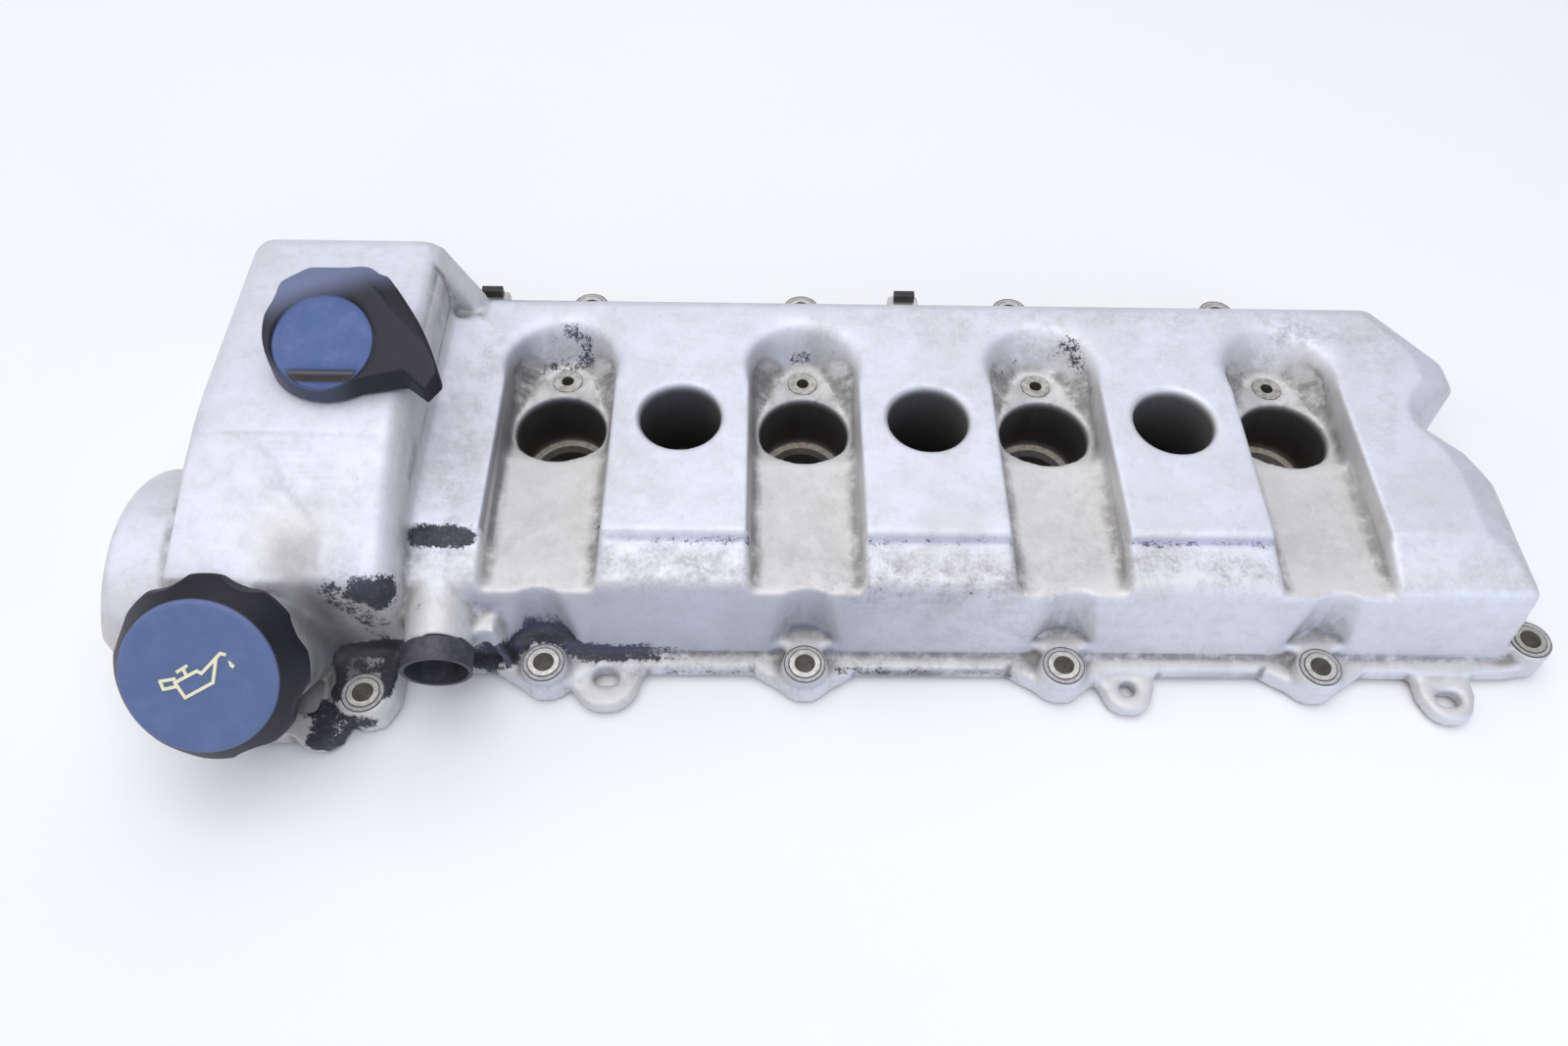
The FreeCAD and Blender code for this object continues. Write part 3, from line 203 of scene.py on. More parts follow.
def make_world():
    """Pale sky overhead, falling to a dim blue-grey at the horizon, and dimmer on the right."""
    world = bpy.data.worlds.new("studio")
    scene.world = world
    world.use_nodes = True
    tree = world.node_tree
    back = tree.nodes["Background"]
    where = tree.nodes.new("ShaderNodeTexCoord")
    split = tree.nodes.new("ShaderNodeSeparateXYZ")
    ramp = tree.nodes.new("ShaderNodeValToRGB")
    tree.links.new(where.outputs["Generated"], split.inputs[0])
    tilt = tree.nodes.new("ShaderNodeMath")
    tilt.operation = "MULTIPLY_ADD"
    tilt.inputs[1].default_value = -0.45
    tree.links.new(split.outputs["X"], tilt.inputs[0])
    tree.links.new(split.outputs["Z"], tilt.inputs[2])
    tree.links.new(tilt.outputs[0], ramp.inputs["Fac"])
    tree.links.new(ramp.outputs["Color"], back.inputs["Color"])
    low, high = ramp.color_ramp.elements
    low.position, low.color = 0.05, (0.20, 0.22, 0.30, 1)
    high.position, high.color = 0.85, (0.92, 0.94, 1.0, 1)
    back.inputs["Strength"].default_value = 0.46


def make_stage():
    make_world()
    centre = (0.12, 0.09, 0.0)
    area_light("key", (-0.05, -0.30, 2.6), centre, 2.8, 46.0, (0.98, 0.985, 1.0))
    area_light("left", (-1.5, 0.3, 0.9), centre, 0.8, 4.5, (0.92, 0.95, 1.0))
    area_light("top", (0.20, 0.95, 1.4), centre, 1.6, 7.0, (0.99, 0.98, 1.0))
    area_light("front", (0.15, -1.70, 1.0), centre, 1.4, 4.5, (0.96, 0.97, 1.0))
    area_light("right", (0.80, -0.60, 0.35), (0.3, 0.0, 0.03), 0.5, 2.3, (0.66, 0.78, 1.0))
    mesh = bpy.data.meshes.new("floor")
    far, low = 6.0, cad_box[0].z - 0.0005
    corners = [(-far, -far, low), (far, -far, low), (far, far, low), (-far, far, low)]
    mesh.from_pydata(corners, [], [(0, 1, 2, 3)])
    floor = bpy.data.objects.new("floor", mesh)
    scene.collection.objects.link(floor)
    floor.data.materials.append(plain_floor())
    scene.view_settings.view_transform = "Standard"
    scene.view_settings.look = "None"
    scene.view_settings.exposure = 0.0


# Node material helpers

class Paint:
    """Builds one node material around a Principled shader."""

    def __init__(self, name):
        self.material = bpy.data.materials.new(name)
        self.material.use_nodes = True
        self.tree = self.material.node_tree
        self.shader = self.tree.nodes["Principled BSDF"]
        self.where = self.add("ShaderNodeTexCoord").outputs["Object"]

    def add(self, kind, **settings):
        node = self.tree.nodes.new(kind)
        for name, value in settings.items():
            setattr(node, name, value)
        return node

    def link(self, source, target):
        if hasattr(source, "node"):
            self.tree.links.new(source, target)
        else:
            target.default_value = source

    def noise(self, size, detail=4.0, rough=0.55, warp=0.0, squash=None):
        """Noise with lumps of about a size, in millimetres."""
        node = self.add("ShaderNodeTexNoise")
        where = self.where
        if squash:
            mapping = self.add("ShaderNodeMapping")
            mapping.inputs["Scale"].default_value = squash
            self.link(where, mapping.inputs["Vector"])
            where = mapping.outputs["Vector"]
        self.link(where, node.inputs["Vector"])
        node.inputs["Scale"].default_value = 1.0 / (size * MM)
        node.inputs["Detail"].default_value = detail
        node.inputs["Roughness"].default_value = rough
        node.inputs["Distortion"].default_value = warp
        return node.outputs["Fac"]

    def ramp(self, value, low, high, smooth=True):
        """0 below low, 1 above high."""
        node = self.add("ShaderNodeMapRange", interpolation_type="SMOOTHSTEP" if smooth else "LINEAR")
        self.link(value, node.inputs["Value"])
        node.inputs["From Min"].default_value = low
        node.inputs["From Max"].default_value = high
        return node.outputs["Result"]

    def math(self, what, one, two=0.0, clamp=False):
        node = self.add("ShaderNodeMath", operation=what, use_clamp=clamp)
        self.link(one, node.inputs[0])
        self.link(two, node.inputs[1])
        return node.outputs[0]

    def mix(self, share, one, two):
        node = self.add("ShaderNodeMix", data_type="RGBA")
        self.link(share, node.inputs[0])
        self.link(one, node.inputs[6])
        self.link(two, node.inputs[7])
        return node.outputs[2]

    def along(self, spot, axis):
        """How far a point lies along an axis from a spot, in millimetres."""
        away = self.add("ShaderNodeVectorMath", operation="SUBTRACT")
        self.link(self.where, away.inputs[0])
        away.inputs[1].default_value = [value * MM for value in spot]
        dot = self.add("ShaderNodeVectorMath", operation="DOT_PRODUCT")
        self.link(away.outputs["Vector"], dot.inputs[0])
        dot.inputs[1].default_value = axis
        return self.math("MULTIPLY", dot.outputs["Value"], 1.0 / MM)

    def attribute(self, name):
        return self.add("ShaderNodeAttribute", attribute_name=name).outputs["Fac"]

    def bump(self, height, distance, strength=1.0, under=None):
        node = self.add("ShaderNodeBump")
        node.inputs["Distance"].default_value = distance * MM
        node.inputs["Strength"].default_value = strength
        self.link(height, node.inputs["Height"])
        if under is not None:
            self.link(under, node.inputs["Normal"])
        return node.outputs["Normal"]

    def finish(self, colour, rough, metal=0.0, normal=None, **plain):
        self.link(colour, self.shader.inputs["Base Color"])
        self.link(rough, self.shader.inputs["Roughness"])
        self.link(metal, self.shader.inputs["Metallic"])
        if normal is not None:
            self.link(normal, self.shader.inputs["Normal"])
        for name, value in plain.items():
            self.shader.inputs[name.replace("_", " ")].default_value = value
        return self.material


def rgb(red, green, blue):
    return (red, green, blue, 1.0)


def plain_floor():
    """Pale all round, and dark only where the cover hides it: a painted shadow."""
    paint = Paint("floor_paint")
    tint = paint.mix(paint.noise(300, 2), rgb(0.82, 0.82, 0.83), rgb(0.86, 0.86, 0.86))
    # Painted shadow: near black under the cover, where it shows through the bores.
    inside = paint.math("MULTIPLY", paint.ramp(paint.along((-30, 0, 0), (1, 0, 0)), 0, 20),
                        paint.ramp(paint.along((345, 0, 0), (-1, 0, 0)), 0, 20))
    inside = paint.math("MULTIPLY", inside, paint.ramp(paint.along((0, 40, 0), (0, 1, 0)), 0, 20))
    inside = paint.math("MULTIPLY", inside, paint.ramp(paint.along((0, 150, 0), (0, -1, 0)), 0, 20))
    return paint.finish(paint.mix(inside, tint, rgb(0.02, 0.02, 0.02)), 0.8)


def cast_paint():
    """Silver paint over a cast alloy, stained brown and grey, with oily grime where it gathers; painted blue
    light on faces turned up and to the front, and painted shade in hollows, creases, bores and on the walls
    that the dim mask covers.
    """
    paint = Paint("cast_alloy")
    sky = paint.attribute("sky")
    painted_cool_light = paint.attribute("painted_cool_light")
    broad = paint.noise(45, 4, 0.6)
    fine = paint.noise(5, 6, 0.65)
    # Painted light: the base paint turns bluish on faces turned up and to the front.
    colour = paint.mix(painted_cool_light, rgb(0.66, 0.645, 0.635), rgb(0.71, 0.72, 0.80))
    broad_wear = paint.math("MULTIPLY", paint.ramp(broad, 0.42, 0.72), 0.45)
    colour = paint.mix(broad_wear, colour, rgb(0.57, 0.55, 0.54))
    fine_wear = paint.math("MULTIPLY", paint.ramp(fine, 0.48, 0.80), 0.30)
    colour = paint.mix(fine_wear, colour, rgb(0.44, 0.42, 0.41))
    stain = paint.math("MULTIPLY", paint.attribute("stain"), paint.ramp(paint.noise(11, 7, 0.80), 0.38, 0.62))
    stain = paint.math("MULTIPLY", stain, paint.ramp(paint.noise(1.8, 5, 0.75), 0.25, 0.60))
    colour = paint.mix(paint.math("MULTIPLY", stain, 0.75, True), colour, rgb(0.27, 0.245, 0.235))
    # Painted shade: darker where a vertex sees little open sky.
    shade = paint.math("SUBTRACT", 1.0, paint.ramp(sky, 0.30, 0.86))
    colour = paint.mix(paint.math("MULTIPLY", shade, 0.16, True), colour, rgb(0.13, 0.125, 0.125))
    # Crease darkening, broken by noise: partly dirt, partly painted shade.
    crease_dirt_and_shade = paint.math("MULTIPLY", paint.attribute("hollow"), paint.ramp(paint.noise(8, 5, 0.7), 0.25, 0.6))
    colour = paint.mix(paint.math("MULTIPLY", crease_dirt_and_shade, 0.75, True), colour, rgb(0.12, 0.11, 0.10))
    flecks = paint.math("MULTIPLY", paint.noise(1.3, 6, 0.8), 1.20)
    patches = paint.math("MULTIPLY", paint.noise(5.5, 6, 0.75), 1.00)
    broken = paint.math("ADD", paint.math("ADD", flecks, patches), paint.attribute("grime"))
    grime = paint.ramp(broken, 1.54, 1.66)
    dusty = paint.ramp(paint.noise(1.6, 4, 0.7), 0.5, 0.75)
    grime_tone = paint.mix(dusty, rgb(0.022, 0.022, 0.032), rgb(0.085, 0.085, 0.105))
    colour = paint.mix(grime, colour, grime_tone)
    specks = paint.ramp(paint.noise(1.1, 3, 0.6), 0.715, 0.77)
    speck_zone = paint.math("ADD", paint.ramp(paint.noise(26, 3), 0.50, 0.66), paint.attribute("stain"))
    specks = paint.math("MULTIPLY", specks, speck_zone, True)
    colour = paint.mix(paint.math("MULTIPLY", specks, 0.85), colour, rgb(0.06, 0.055, 0.05))
    # Painted shade where the dim mask says, bluer on the front walls.
    painted_shade_tone = paint.mix(painted_cool_light, rgb(0.055, 0.054, 0.056), rgb(0.17, 0.19, 0.33))
    colour = paint.mix(paint.attribute("dim"), colour, painted_shade_tone)
    # Painted shade: the bores' walls painted near black.
    bore_shade = paint.attribute("bore_shade")
    colour = paint.mix(bore_shade, colour, paint.mix(fine, rgb(0.012, 0.012, 0.012), rgb(0.045, 0.040, 0.036)))
    dull = paint.math("ADD", paint.math("ADD", grime, stain, True), bore_shade, True)
    rough = paint.math("ADD", paint.math("MULTIPLY", fine, 0.22), 0.40)
    rough = paint.math("ADD", rough, paint.math("MULTIPLY", stain, 0.12), True)
    metal = paint.math("MULTIPLY", paint.math("SUBTRACT", 1.0, dull, True), 0.32)
    normal = paint.bump(paint.noise(0.8, 3, 0.6), 0.06, 0.7)
    normal = paint.bump(paint.noise(6, 4, 0.5), 0.15, 0.5, normal)
    return paint.finish(colour, rough, metal, normal)


# Cap colours: near-black plastic, a painted blue-grey sheen and painted blue reflections for the faces.
SKIRT_DARK = rgb(0.011, 0.011, 0.017)
SHEEN_GREY = rgb(0.15, 0.175, 0.29)
OIL_BLUE_REFLECTION = rgb(0.100, 0.145, 0.29)
LEVER_BLUE_REFLECTION = rgb(0.062, 0.108, 0.27)


def cap_paint(name, face, tone, sheen=None, scoop=None):
    """Satin plastic: near black, with a painted blue reflection on its face and a painted blue-grey sheen
    where a given mask says.
    """
    paint = Paint(name)
    mark = paint.noise(9, 6, 0.7)
    fine = paint.noise(1.2, 4, 0.6)
    # Painted sheen: pale blue-grey over the near-black skirt where the given mask says.
    dark = paint.mix(sheen(paint), SKIRT_DARK, SHEEN_GREY) if sheen else SKIRT_DARK
    # Painted blue reflection on the face, a little uneven.
    blue = paint.mix(paint.math("MULTIPLY", paint.ramp(mark, 0.40, 0.75), 0.35), tone, rgb(0.17, 0.22, 0.42))
    colour = paint.mix(face(paint), dark, blue)
    if scoop:
        colour = scoop(paint, colour)
    dust = paint.ramp(fine, 0.66, 0.78)
    colour = paint.mix(paint.math("MULTIPLY", dust, 0.30), colour, rgb(0.30, 0.32, 0.38))
    rough = paint.math("ADD", paint.math("MULTIPLY", mark, 0.15), 0.42)
    normal = paint.bump(paint.noise(0.5, 3), 0.03, 0.6)
    return paint.finish(colour, rough, 0.0, normal, Specular_IOR_Level=0.35)


def oil_face(paint):
    return paint.ramp(paint.along(MOUTH, NECK_AXIS), 13.2, 14.0)


def thumb_away(paint):
    """How far a point is from the middle of the thumb face, across it."""
    sideways = paint.math("POWER", paint.along(THUMB, (1.0, 0.0, 0.0)), 2.0)
    upwards = paint.math("POWER", paint.along(THUMB, THUMB_UP), 2.0)
    return paint.math("SQRT", paint.math("ADD", sideways, upwards))


def thumb_face(paint):
    """The slanted round face for the thumb."""
    flat = paint.ramp(paint.math("ABSOLUTE", paint.along(THUMB, THUMB_AXIS)), 0.9, 0.4)
    return paint.math("MULTIPLY", flat, paint.ramp(thumb_away(paint), THUMB_R + 0.3, THUMB_R - 0.3))


def thumb_scoop(paint, colour):
    """Dark brown in the scoop at the foot of the thumb face, under a pale edge painted as a highlight and
    over a painted blue reflection.
    """
    up = paint.along(THUMB, THUMB_UP)
    sunk = paint.ramp(paint.along(THUMB, THUMB_AXIS), -0.7, -1.1)
    inside = paint.math("MULTIPLY", sunk, paint.ramp(up, -6.5, -7.5))
    inside = paint.math("MULTIPLY", inside, paint.ramp(thumb_away(paint), THUMB_R, THUMB_R - 0.5))
    # A pale edge painted as a highlight, dark brown below it, then a painted blue reflection at the foot.
    tone = paint.mix(paint.ramp(up, -11.0, -12.5), rgb(0.20, 0.19, 0.21), rgb(0.030, 0.021, 0.019))
    tone = paint.mix(paint.ramp(up, -14.2, -15.6), tone, LEVER_BLUE_REFLECTION)
    return paint.mix(inside, colour, tone)


def thumb_sheen(paint):
    """Painted sheen: the top of the brow behind the thumb face in a pale blue-grey, and the foot in front of
    it.
    """
    behind = paint.ramp(paint.along((-84, 106, 105), (-0.35, 0.90, 0.25)), -9.0, 6.0)
    foot = paint.ramp(paint.along((-82, 78, 84), (-0.3, -0.95, 0.0)), -2.0, 7.0)
    return paint.math("ADD", behind, paint.math("MULTIPLY", foot, 0.35), True)


def steel_paint(name, light, dark, rough_low, metal=0.9):
    paint = Paint(name)
    mark = paint.noise(2.5, 6, 0.7)
    colour = paint.mix(paint.ramp(mark, 0.35, 0.7), light, dark)
    rough = paint.math("ADD", paint.math("MULTIPLY", mark, 0.25), rough_low)
    normal = paint.bump(paint.noise(0.5, 3), 0.02, 0.5)
    return paint.finish(colour, rough, metal, normal)


def soft_paint(name, light, dark, rough_low, grain=0.6, spread=5.0, **plain):
    paint = Paint(name)
    mark = paint.noise(spread, 6, 0.7)
    colour = paint.mix(paint.ramp(mark, 0.4, 0.72), dark, light)
    rough = paint.math("ADD", paint.math("MULTIPLY", mark, 0.2), rough_low)
    normal = paint.bump(paint.noise(grain, 3), 0.03, 0.5)
    return paint.finish(colour, rough, 0.0, normal, **plain)


def ring_paint(name, spot, light, dark, inner, outer):
    """Rubber with painted shade towards the inner and the outer edge of its ring, each between two radii."""
    paint = Paint(name)
    along_x = paint.math("POWER", paint.along((*spot, 0.0), (1.0, 0.0, 0.0)), 2.0)
    along_y = paint.math("POWER", paint.along((*spot, 0.0), (0.0, 1.0, 0.0)), 2.0)
    away = paint.math("SQRT", paint.math("ADD", along_x, along_y))
    colour = paint.mix(paint.ramp(paint.noise(2.0, 6, 0.7), 0.35, 0.7), light, dark)
    # Painted shade in the gaps at the inner and outer edge of the ring.
    line = paint.math("ADD", paint.ramp(away, inner[1], inner[0]), paint.ramp(away, outer[0], outer[1]), True)
    colour = paint.mix(paint.math("MULTIPLY", line, 0.88), colour, rgb(0.04, 0.038, 0.036))
    return paint.finish(colour, 0.5)


def dress(node, material):
    mesh = nodes[node].data
    if not mesh.materials:
        mesh.materials.append(material)
    for index in range(len(mesh.materials)):
        mesh.materials[index] = material


make_stage()


# Cover: the CAD solid's mesh with the soft corners and blends of a sand casting

def soft_copy(node, voxel, steps, most, weigh=None):
    """A node's solid, meshed evenly and with its edges softened."""
    thing = bpy.data.objects.new(node + "_soft", nodes[node].data.copy())
    scene.collection.objects.link(thing)
    if node == "cover":
        bolt_seats(thing.data)
    remesh = thing.modifiers.new("remesh", "REMESH")
    remesh.mode, remesh.voxel_size, remesh.adaptivity = "VOXEL", voxel * MM, 0.0
    bake(thing)
    place, ends = arrays(thing.data)
    weight = np.ones(len(place)) if weigh is None else weigh(place)
    place = relax(place, ends, weight, steps, 0.5)
    if node == "cover":
        place = shape_cover(place, ends)
    thing.data.vertices.foreach_set("co", place.ravel())
    thing.data.update()
    triangles = sum(len(face.vertices) - 2 for face in thing.data.polygons)
    if triangles > most:
        thin = thing.modifiers.new("thin", "DECIMATE")
        thin.ratio = most / triangles
        bake(thing)
    thing.data.shade_smooth()
    return thing


def shape_cover(place, ends):
    """The cover's own soft forms, after its first even softening."""
    place = pointed_floors(relax(place, ends, near_arches(place), 40, 0.5))
    place = relax(place, ends, near_valley(place), 60, 0.5)
    for y, slope, reach in DOME_BENDS:
        place = bend(place, y, slope, reach)
    return flat_seats(place)


def put(thing, node, body, material):
    """Give a soft copy its finish, and let it stand for its node."""
    thing.data.materials.clear()
    thing.data.materials.append(material)
    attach(thing, body)
    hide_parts(node)


def arrays(mesh):
    """Vertex places, and the two ends of every edge."""
    place = np.zeros(len(mesh.vertices) * 3)
    mesh.vertices.foreach_get("co", place)
    ends = np.zeros(len(mesh.edges) * 2, np.int64)
    mesh.edges.foreach_get("vertices", ends)
    return place.reshape(-1, 3), ends.reshape(-1, 2)


def relax(place, ends, weight, steps, pull):
    """Move each vertex towards the middle of its neighbours, by a weight."""
    count = len(place)
    one, two = ends[:, 0], ends[:, 1]
    degree = np.maximum(np.bincount(one, minlength=count) + np.bincount(two, minlength=count), 1)
    for step in range(steps):
        middle = np.empty_like(place)
        for axis in range(3):
            total = np.bincount(one, place[two, axis], count) + np.bincount(two, place[one, axis], count)
            middle[:, axis] = total / degree
        place = place + (pull * weight)[:, None] * (middle - place)
    return place


def streak(place, start, end, reach):
    """1 along the line between two spots, falling to 0 at a reach, all in millimetres."""
    start = np.array(start) * MM
    line = np.array(end) * MM - start
    share = np.clip((place - start) @ line / (line @ line), 0.0, 1.0)
    away = np.linalg.norm(place - start - share[:, None] * line, axis=1) / (reach * MM)
    return np.clip(1.0 - away, 0.0, 1.0)


def near_bolts(place):
    """Less softening in the bolt holes and at the gasket face."""
    weight = np.clip(place[:, 2] / (3.0 * MM), 0.05, 1.0)
    for x, y in BOLTS:
        away = np.hypot(place[:, 0] - x * MM, place[:, 1] - y * MM)
        weight = np.minimum(weight, np.clip((away - 6.0 * MM) / (1.5 * MM), 0.08, 1.0))
    return weight


def bolt_seats(mesh):
    """Fill the grommet's seat in each boss, so that the thin wall round it stays whole."""
    sides = 32
    profile = ((SEAT_IN_R, SEAT_BOTTOM), (SEAT_OUT_R, SEAT_BOTTOM),
               (SEAT_OUT_R, SEAT_TOP), (SEAT_IN_R, SEAT_TOP))
    corners, faces = [], []
    for x, y in BOLTS:
        first = len(corners)
        for radius, z in profile:
            for turn in range(sides):
                angle = 2 * math.pi * turn / sides
                along, across = radius * math.cos(angle), radius * math.sin(angle)
                corners.append(((x + along) * MM, (y + across) * MM, z * MM))
        for loop in range(len(profile)):
            here, there = first + loop * sides, first + (loop + 1) % len(profile) * sides
            for turn in range(sides):
                after = (turn + 1) % sides
                faces.append((here + turn, here + after, there + after, there + turn))
    filler = bpy.data.meshes.new("bolt_seats")
    filler.from_pydata(corners, [], faces)
    whole = bmesh.new()
    whole.from_mesh(mesh)
    whole.from_mesh(filler)
    whole.to_mesh(mesh)
    whole.free()


def flat_seats(place):
    """Keep the tops of the bosses flat, just under their grommets."""
    for x, y in BOLTS:
        away = np.hypot(place[:, 0] - x * MM, place[:, 1] - y * MM)
        top = (away < 8.6 * MM) & (place[:, 2] > 12.2 * MM) & (place[:, 2] < 15.5 * MM)
        place[top, 2] = SEAT_TOP * MM
    return place


def near_arches(place):
    """1 at the round rims behind the coil wells."""
    weight = np.zeros(len(place))
    high = np.clip((place[:, 2] / MM - 41.0) / 5.0, 0.0, 1.0)
    for x in WELLS:
        across, back = place[:, 0] / MM - x, place[:, 1] / MM - 122.0
        rim = np.clip(1.8 - np.abs(np.hypot(across, back) - 23.0) / 6.0, 0.0, 1.0)
        weight = np.maximum(weight, rim * high * np.clip(1.0 + back / 12.0, 0.0, 1.0))
    return weight


def pointed_floors(place):
    """Draw the back of each well's floor in to a point behind the coil's screw."""
    x, y, z = (place[:, axis] / MM for axis in range(3))
    half = 20.0 * np.sqrt(np.clip((137.0 - y) / 39.0, 0.0, 1.0))
    for well in WELLS:
        across = np.abs(x - well)
        inside = (across < 23.0) & (y > 98.0) & (y < 136.0) & (z > 37.0) & (z < 49.0)
        lift = 38.0 + 0.9 * np.clip(across - half, 0.0, 10.0)
        place[inside, 2] = np.maximum(z, lift)[inside] * MM
    return place


def near_valley(place):
    """1 in the valley between the filler neck and the chain case wall."""
    return np.clip(2.0 * streak(place, (-76, -1, 58), (-73, 0, 16), 13), 0.0, 1.0)


def bend(place, y, slope, reach):
    """Lower the top of the dome round one of its bends, so that the bend turns over a reach."""
    x, along, z = (place[:, axis] / MM for axis in range(3))
    top = (x > -140) & (x < -46) & (z > 62) & (along < 90)
    drop = slope / (4.0 * reach) * np.clip(reach - np.abs(along - y), 0.0, None) ** 2
    place[:, 2] -= top * drop * MM
    return place


def near_brow(place):
    """More softening on the brow behind the thumb face of the lever cap, and little on its tail."""
    back = np.clip((place[:, 1] / MM - 98.0) / 8.0, 0.0, 1.0)
    low = np.clip((102.0 - place[:, 2] / MM) / 6.0, 0.0, 1.0)
    body = np.clip((-64.0 - place[:, 0] / MM) / 8.0, 0.0, 1.0)
    return np.clip(0.12 + 0.88 * back * np.maximum(body, 0.5 * low), 0.0, 1.0)


def make_cover():
    cover = soft_copy("cover", 1.25, 5, 190000, near_bolts)
    mark(cover)
    put(cover, "cover", "housing", cast_paint())


def make_caps():
    put(soft_copy("oil_cap", 0.6, 5, 60000), "oil_cap", "cap",
        cap_paint("oil_cap_plastic", oil_face, OIL_BLUE_REFLECTION))
    put(soft_copy("lever_cap", 0.6, 60, 60000, near_brow), "lever_cap", "lever",
        cap_paint("lever_plastic", thumb_face, LEVER_BLUE_REFLECTION, thumb_sheen, thumb_scoop))


def bake(thing):
    """Apply every modifier, so that the mesh is final."""
    graph = bpy.context.evaluated_depsgraph_get()
    made = bpy.data.meshes.new_from_object(thing.evaluated_get(graph))
    thing.modifiers.clear()
    thing.data = made


def open_sky(thing, place, normal, reach):
    """Share of the sky that each vertex sees, within a reach."""
    tree = BVHTree.FromObject(thing, bpy.context.evaluated_depsgraph_get())
    count = 14
    step = np.arange(count) + 0.5
    height = 1.0 - 2.0 * step / count
    angle = step * math.pi * (3.0 - math.sqrt(5.0))
    side = np.sqrt(1.0 - height * height)
    ball = np.stack([side * np.cos(angle), side * np.sin(angle), height], axis=1) * 0.999
    aims = normal[:, None, :] + ball[None, :, :]
    aims /= np.linalg.norm(aims, axis=2, keepdims=True)
    starts = (place + normal * 0.5 * MM).tolist()
    sky = np.zeros(len(place))
    for index, (start, rays) in enumerate(zip(starts, aims.tolist())):
        free = 0
        for aim in rays:
            if tree.ray_cast(start, aim, reach)[0] is None:
                free += 1
        sky[index] = free / count
    return sky


def mark(cover):
    """Store where dirt lies, in stained patches, in low creases and where oil has run, and where light and
    shade are painted: shade in creases, hollows and bores and on shaded walls, and blue light on faces turned
    up and to the front.
    """
    mesh = cover.data
    place, ends = arrays(mesh)
    normal = np.zeros(len(place) * 3)
    mesh.vertices.foreach_get("normal", normal)
    normal = normal.reshape(-1, 3)
    every = np.ones(len(place))
    middle = relax(place, ends, every, 8, 0.6)
    depth = np.einsum("ij,ij->i", middle - place, normal) / MM
    hollow = np.clip(depth * 2.2, 0.0, 1.0)
    sky = open_sky(cover, place, normal, 45 * MM)
    z = place[:, 2] / MM
    stain = 0.20 + 0.30 * np.clip(1.0 - np.abs(z - 48.0) / 5.0, 0.0, 1.0) * (place[:, 1] < 36 * MM)
    for x in WELLS:
        stain += 0.45 * streak(place, (x - 8, 130, 40), (x + 8, 138, 46), 14)
        stain += 0.30 * streak(place, (x + 18, 40, 43), (x + 19, 80, 42), 10)
    for start, end, reach, much in STAINS:
        stain += much * streak(place, start, end, reach)
    grime = 0.42 * hollow * np.clip(1.0 - z / 14.0, 0.0, 1.0) * (place[:, 0] < 60 * MM)
    for start, end, reach, much in SMEARS:
        grime = np.maximum(grime, much * np.minimum(1.4 * streak(place, start, end, 1.5 * reach), 1.0))
    # Painted shade down the walls of the bores.
    bore_shade = np.zeros(len(place))
    for x, y, radius, top in BORES:
        away = np.hypot(place[:, 0] / MM - x, place[:, 1] / MM - y)
        bore_shade = np.maximum(bore_shade, np.clip(radius + 1.0 - away, 0, 1) * np.clip((top - z) / 6.0, 0, 1) ** 0.4)
    # Painted blue light on faces turned up above the deck and on faces turned to the front, less in the
    # valley by the oil neck.
    painted_cool_light = np.clip((z - 44.0) / 6.0, 0, 1) * np.clip(normal[:, 2] * 1.5 - 0.4, 0, 1)
    painted_cool_light *= np.clip(1.0 - 1.5 * streak(place, (-84, 20, 68), (-82, -12, 26), 18), 0, 1)
    painted_cool_light = np.maximum(painted_cool_light, 0.8 * np.clip(-normal[:, 1] * 1.5 - 0.4, 0, 1) * (place[:, 0] > -30 * MM))
    dim = shaded(place, normal)
    for name, value in (("hollow", hollow), ("dim", dim), ("stain", np.clip(stain, 0, 1)), ("grime", grime),
                        ("sky", sky), ("bore_shade", bore_shade), ("painted_cool_light", painted_cool_light)):
        layer = mesh.attributes.new(name, "FLOAT", "POINT")
        layer.data.foreach_set("value", value.astype(np.float32))


def shaded(place, normal):
    """Painted shade: in the valley by the oil neck, on the front wall, along the front step of each deck
    section and on the wells' left walls.
    """
    x, y, z = (place[:, axis] / MM for axis in range(3))
    dim = 0.75 * np.clip(1.5 * streak(place, (-76, -1, 62), (-73, 0, 14), 12), 0, 1)
    dim = np.maximum(dim, 0.30 * np.clip(1.5 * streak(place, (-66, 2, 50), (-62, 4, 20), 20), 0, 1))
    front = np.clip(-1.6 * normal[:, 1] - 0.4, 0, 1) * (z > 9) * np.clip((x + 40) / 20, 0, 1)
    dim = np.maximum(dim, 0.34 * front * np.clip((190 - x) / 60, 0, 1))
    for start, end, reach, much in VALLEY:
        dim = np.maximum(dim, much * np.clip(1.6 * streak(place, start, end, reach), 0, 1))
    for left, right in DECK_SECTIONS:
        step = streak(place, (left, DECK_FRONT_Y, 50), (right, DECK_FRONT_Y, 50), 2.2)
        dim = np.maximum(dim, 0.5 * np.clip(1.8 * step, 0, 1))
    inside = (z > 38.5) & (y > 36) & (y < 146) & (x > -26)
    left = inside * np.clip(2.0 * normal[:, 0] - 0.3, 0, 1)
    dim = np.maximum(dim, left * np.clip(0.52 - x / 450, 0.08, 0.52))
    return dim


make_cover()
make_caps()


# Finishes of the other nodes

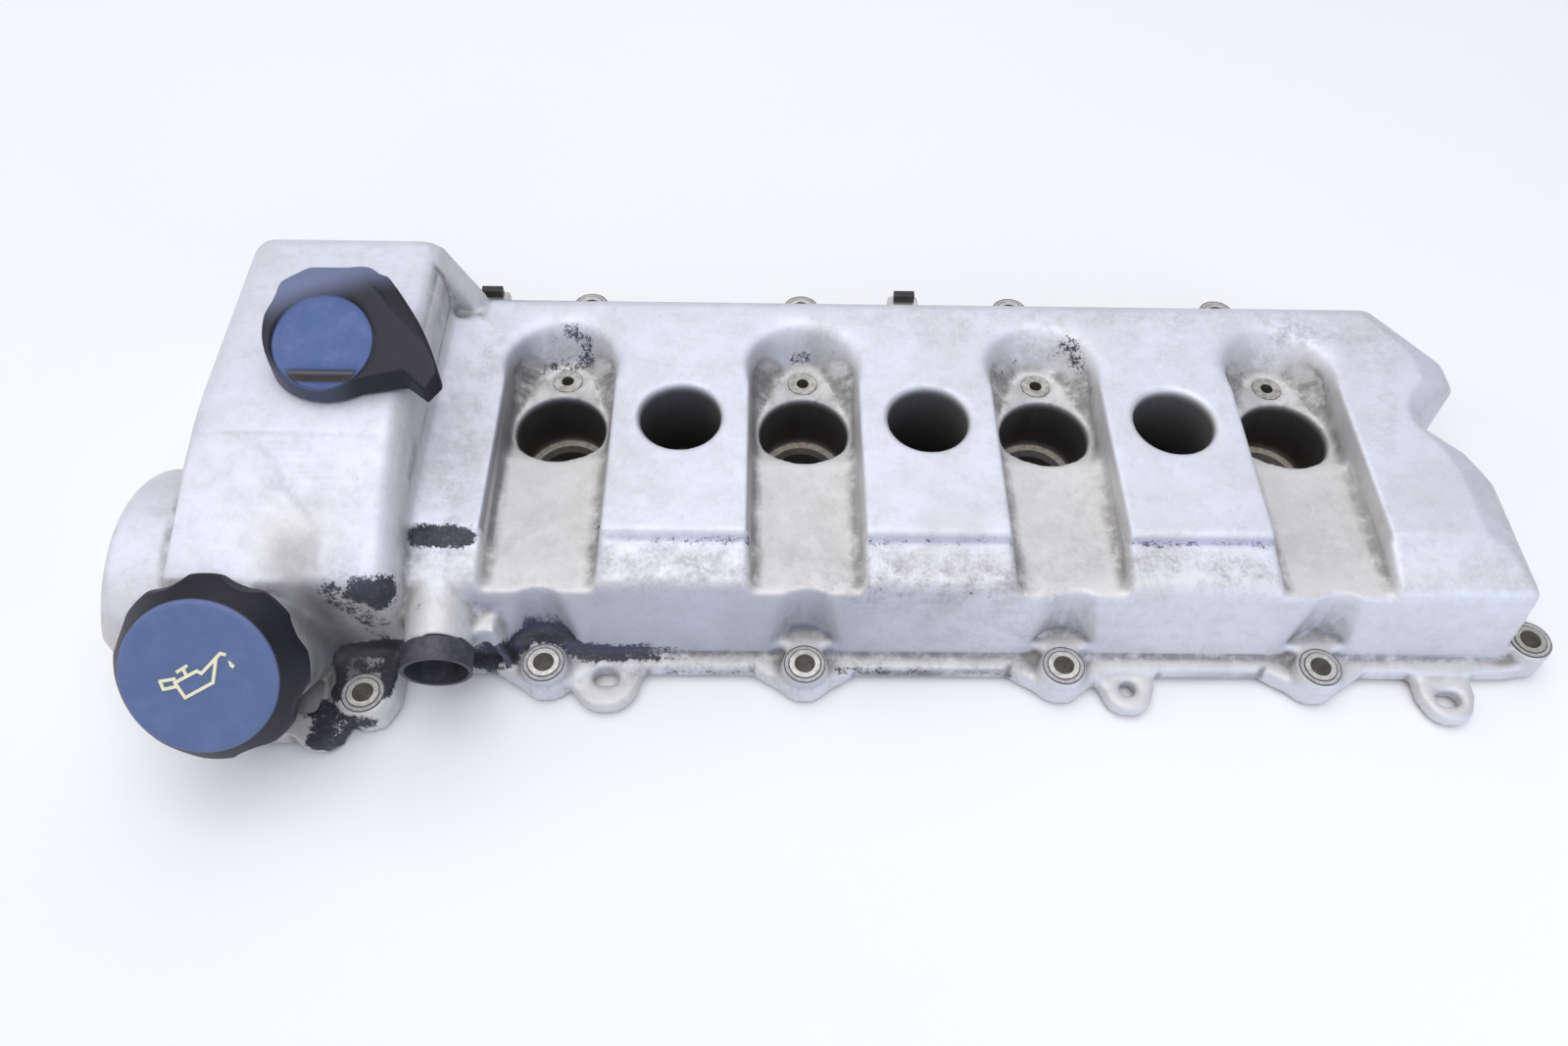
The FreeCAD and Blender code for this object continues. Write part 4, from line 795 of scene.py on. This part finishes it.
finishes = {
    "gasket": soft_paint("gasket_rubber", rgb(0.05, 0.05, 0.05), rgb(0.02, 0.02, 0.02), 0.5),
    "sleeve": steel_paint("sleeve_steel", rgb(0.66, 0.64, 0.60), rgb(0.44, 0.42, 0.38), 0.32),
    "insert": steel_paint("insert_steel", rgb(0.50, 0.49, 0.46), rgb(0.25, 0.24, 0.22), 0.32),
    "middle_seal": soft_paint("middle_rubber", rgb(0.10, 0.09, 0.08), rgb(0.03, 0.03, 0.03), 0.5),
    "cap_seal": soft_paint("cap_rubber", rgb(0.05, 0.05, 0.05), rgb(0.02, 0.02, 0.02), 0.5),
    "lever_seal": soft_paint("lever_rubber", rgb(0.05, 0.05, 0.05), rgb(0.02, 0.02, 0.02), 0.5),
    "cap_plug": soft_paint("plug_plastic", rgb(0.05, 0.05, 0.05), rgb(0.02, 0.02, 0.02), 0.45),
    "lever_plug": soft_paint("lever_plug_plastic", rgb(0.05, 0.05, 0.05), rgb(0.02, 0.02, 0.02), 0.45),
    "oil_symbol": soft_paint("symbol_paint", rgb(0.85, 0.83, 0.58), rgb(0.78, 0.75, 0.50), 0.5),
    "breather_end": soft_paint("breather_plastic", rgb(0.075, 0.073, 0.088), rgb(0.040, 0.038, 0.048), 0.42),
    "baffle": steel_paint("baffle_steel", rgb(0.50, 0.49, 0.47), rgb(0.34, 0.33, 0.31), 0.35),
    "clip_block": soft_paint("clip_plastic", rgb(0.04, 0.04, 0.04), rgb(0.015, 0.015, 0.015), 0.4),
    "clip": steel_paint("clip_steel", rgb(0.70, 0.70, 0.70), rgb(0.55, 0.55, 0.54), 0.25),
}
for index, spot in enumerate(BOLTS):
    row = "front" if index < 6 else "rear"
    finishes[f"grommet_{row}_{index % 6 + 1}"] = ring_paint(
        f"grommet_rubber_{index + 1}", spot, rgb(0.47, 0.46, 0.46), rgb(0.28, 0.27, 0.27),
        inner=(6.25, 6.55), outer=(7.5, 7.8))
for index, x in enumerate(WELLS):
    finishes[f"tube_seal_{index + 1}"] = ring_paint(
        f"seal_rubber_{index + 1}", (x, COIL_Y), rgb(0.55, 0.50, 0.44), rgb(0.30, 0.25, 0.21),
        inner=(15.0, 15.5), outer=(17.6, 18.1))
for name in nodes:
    match = max((key for key in finishes if name.startswith(key)), key=len, default=None)
    if match:
        dress(name, finishes[match])
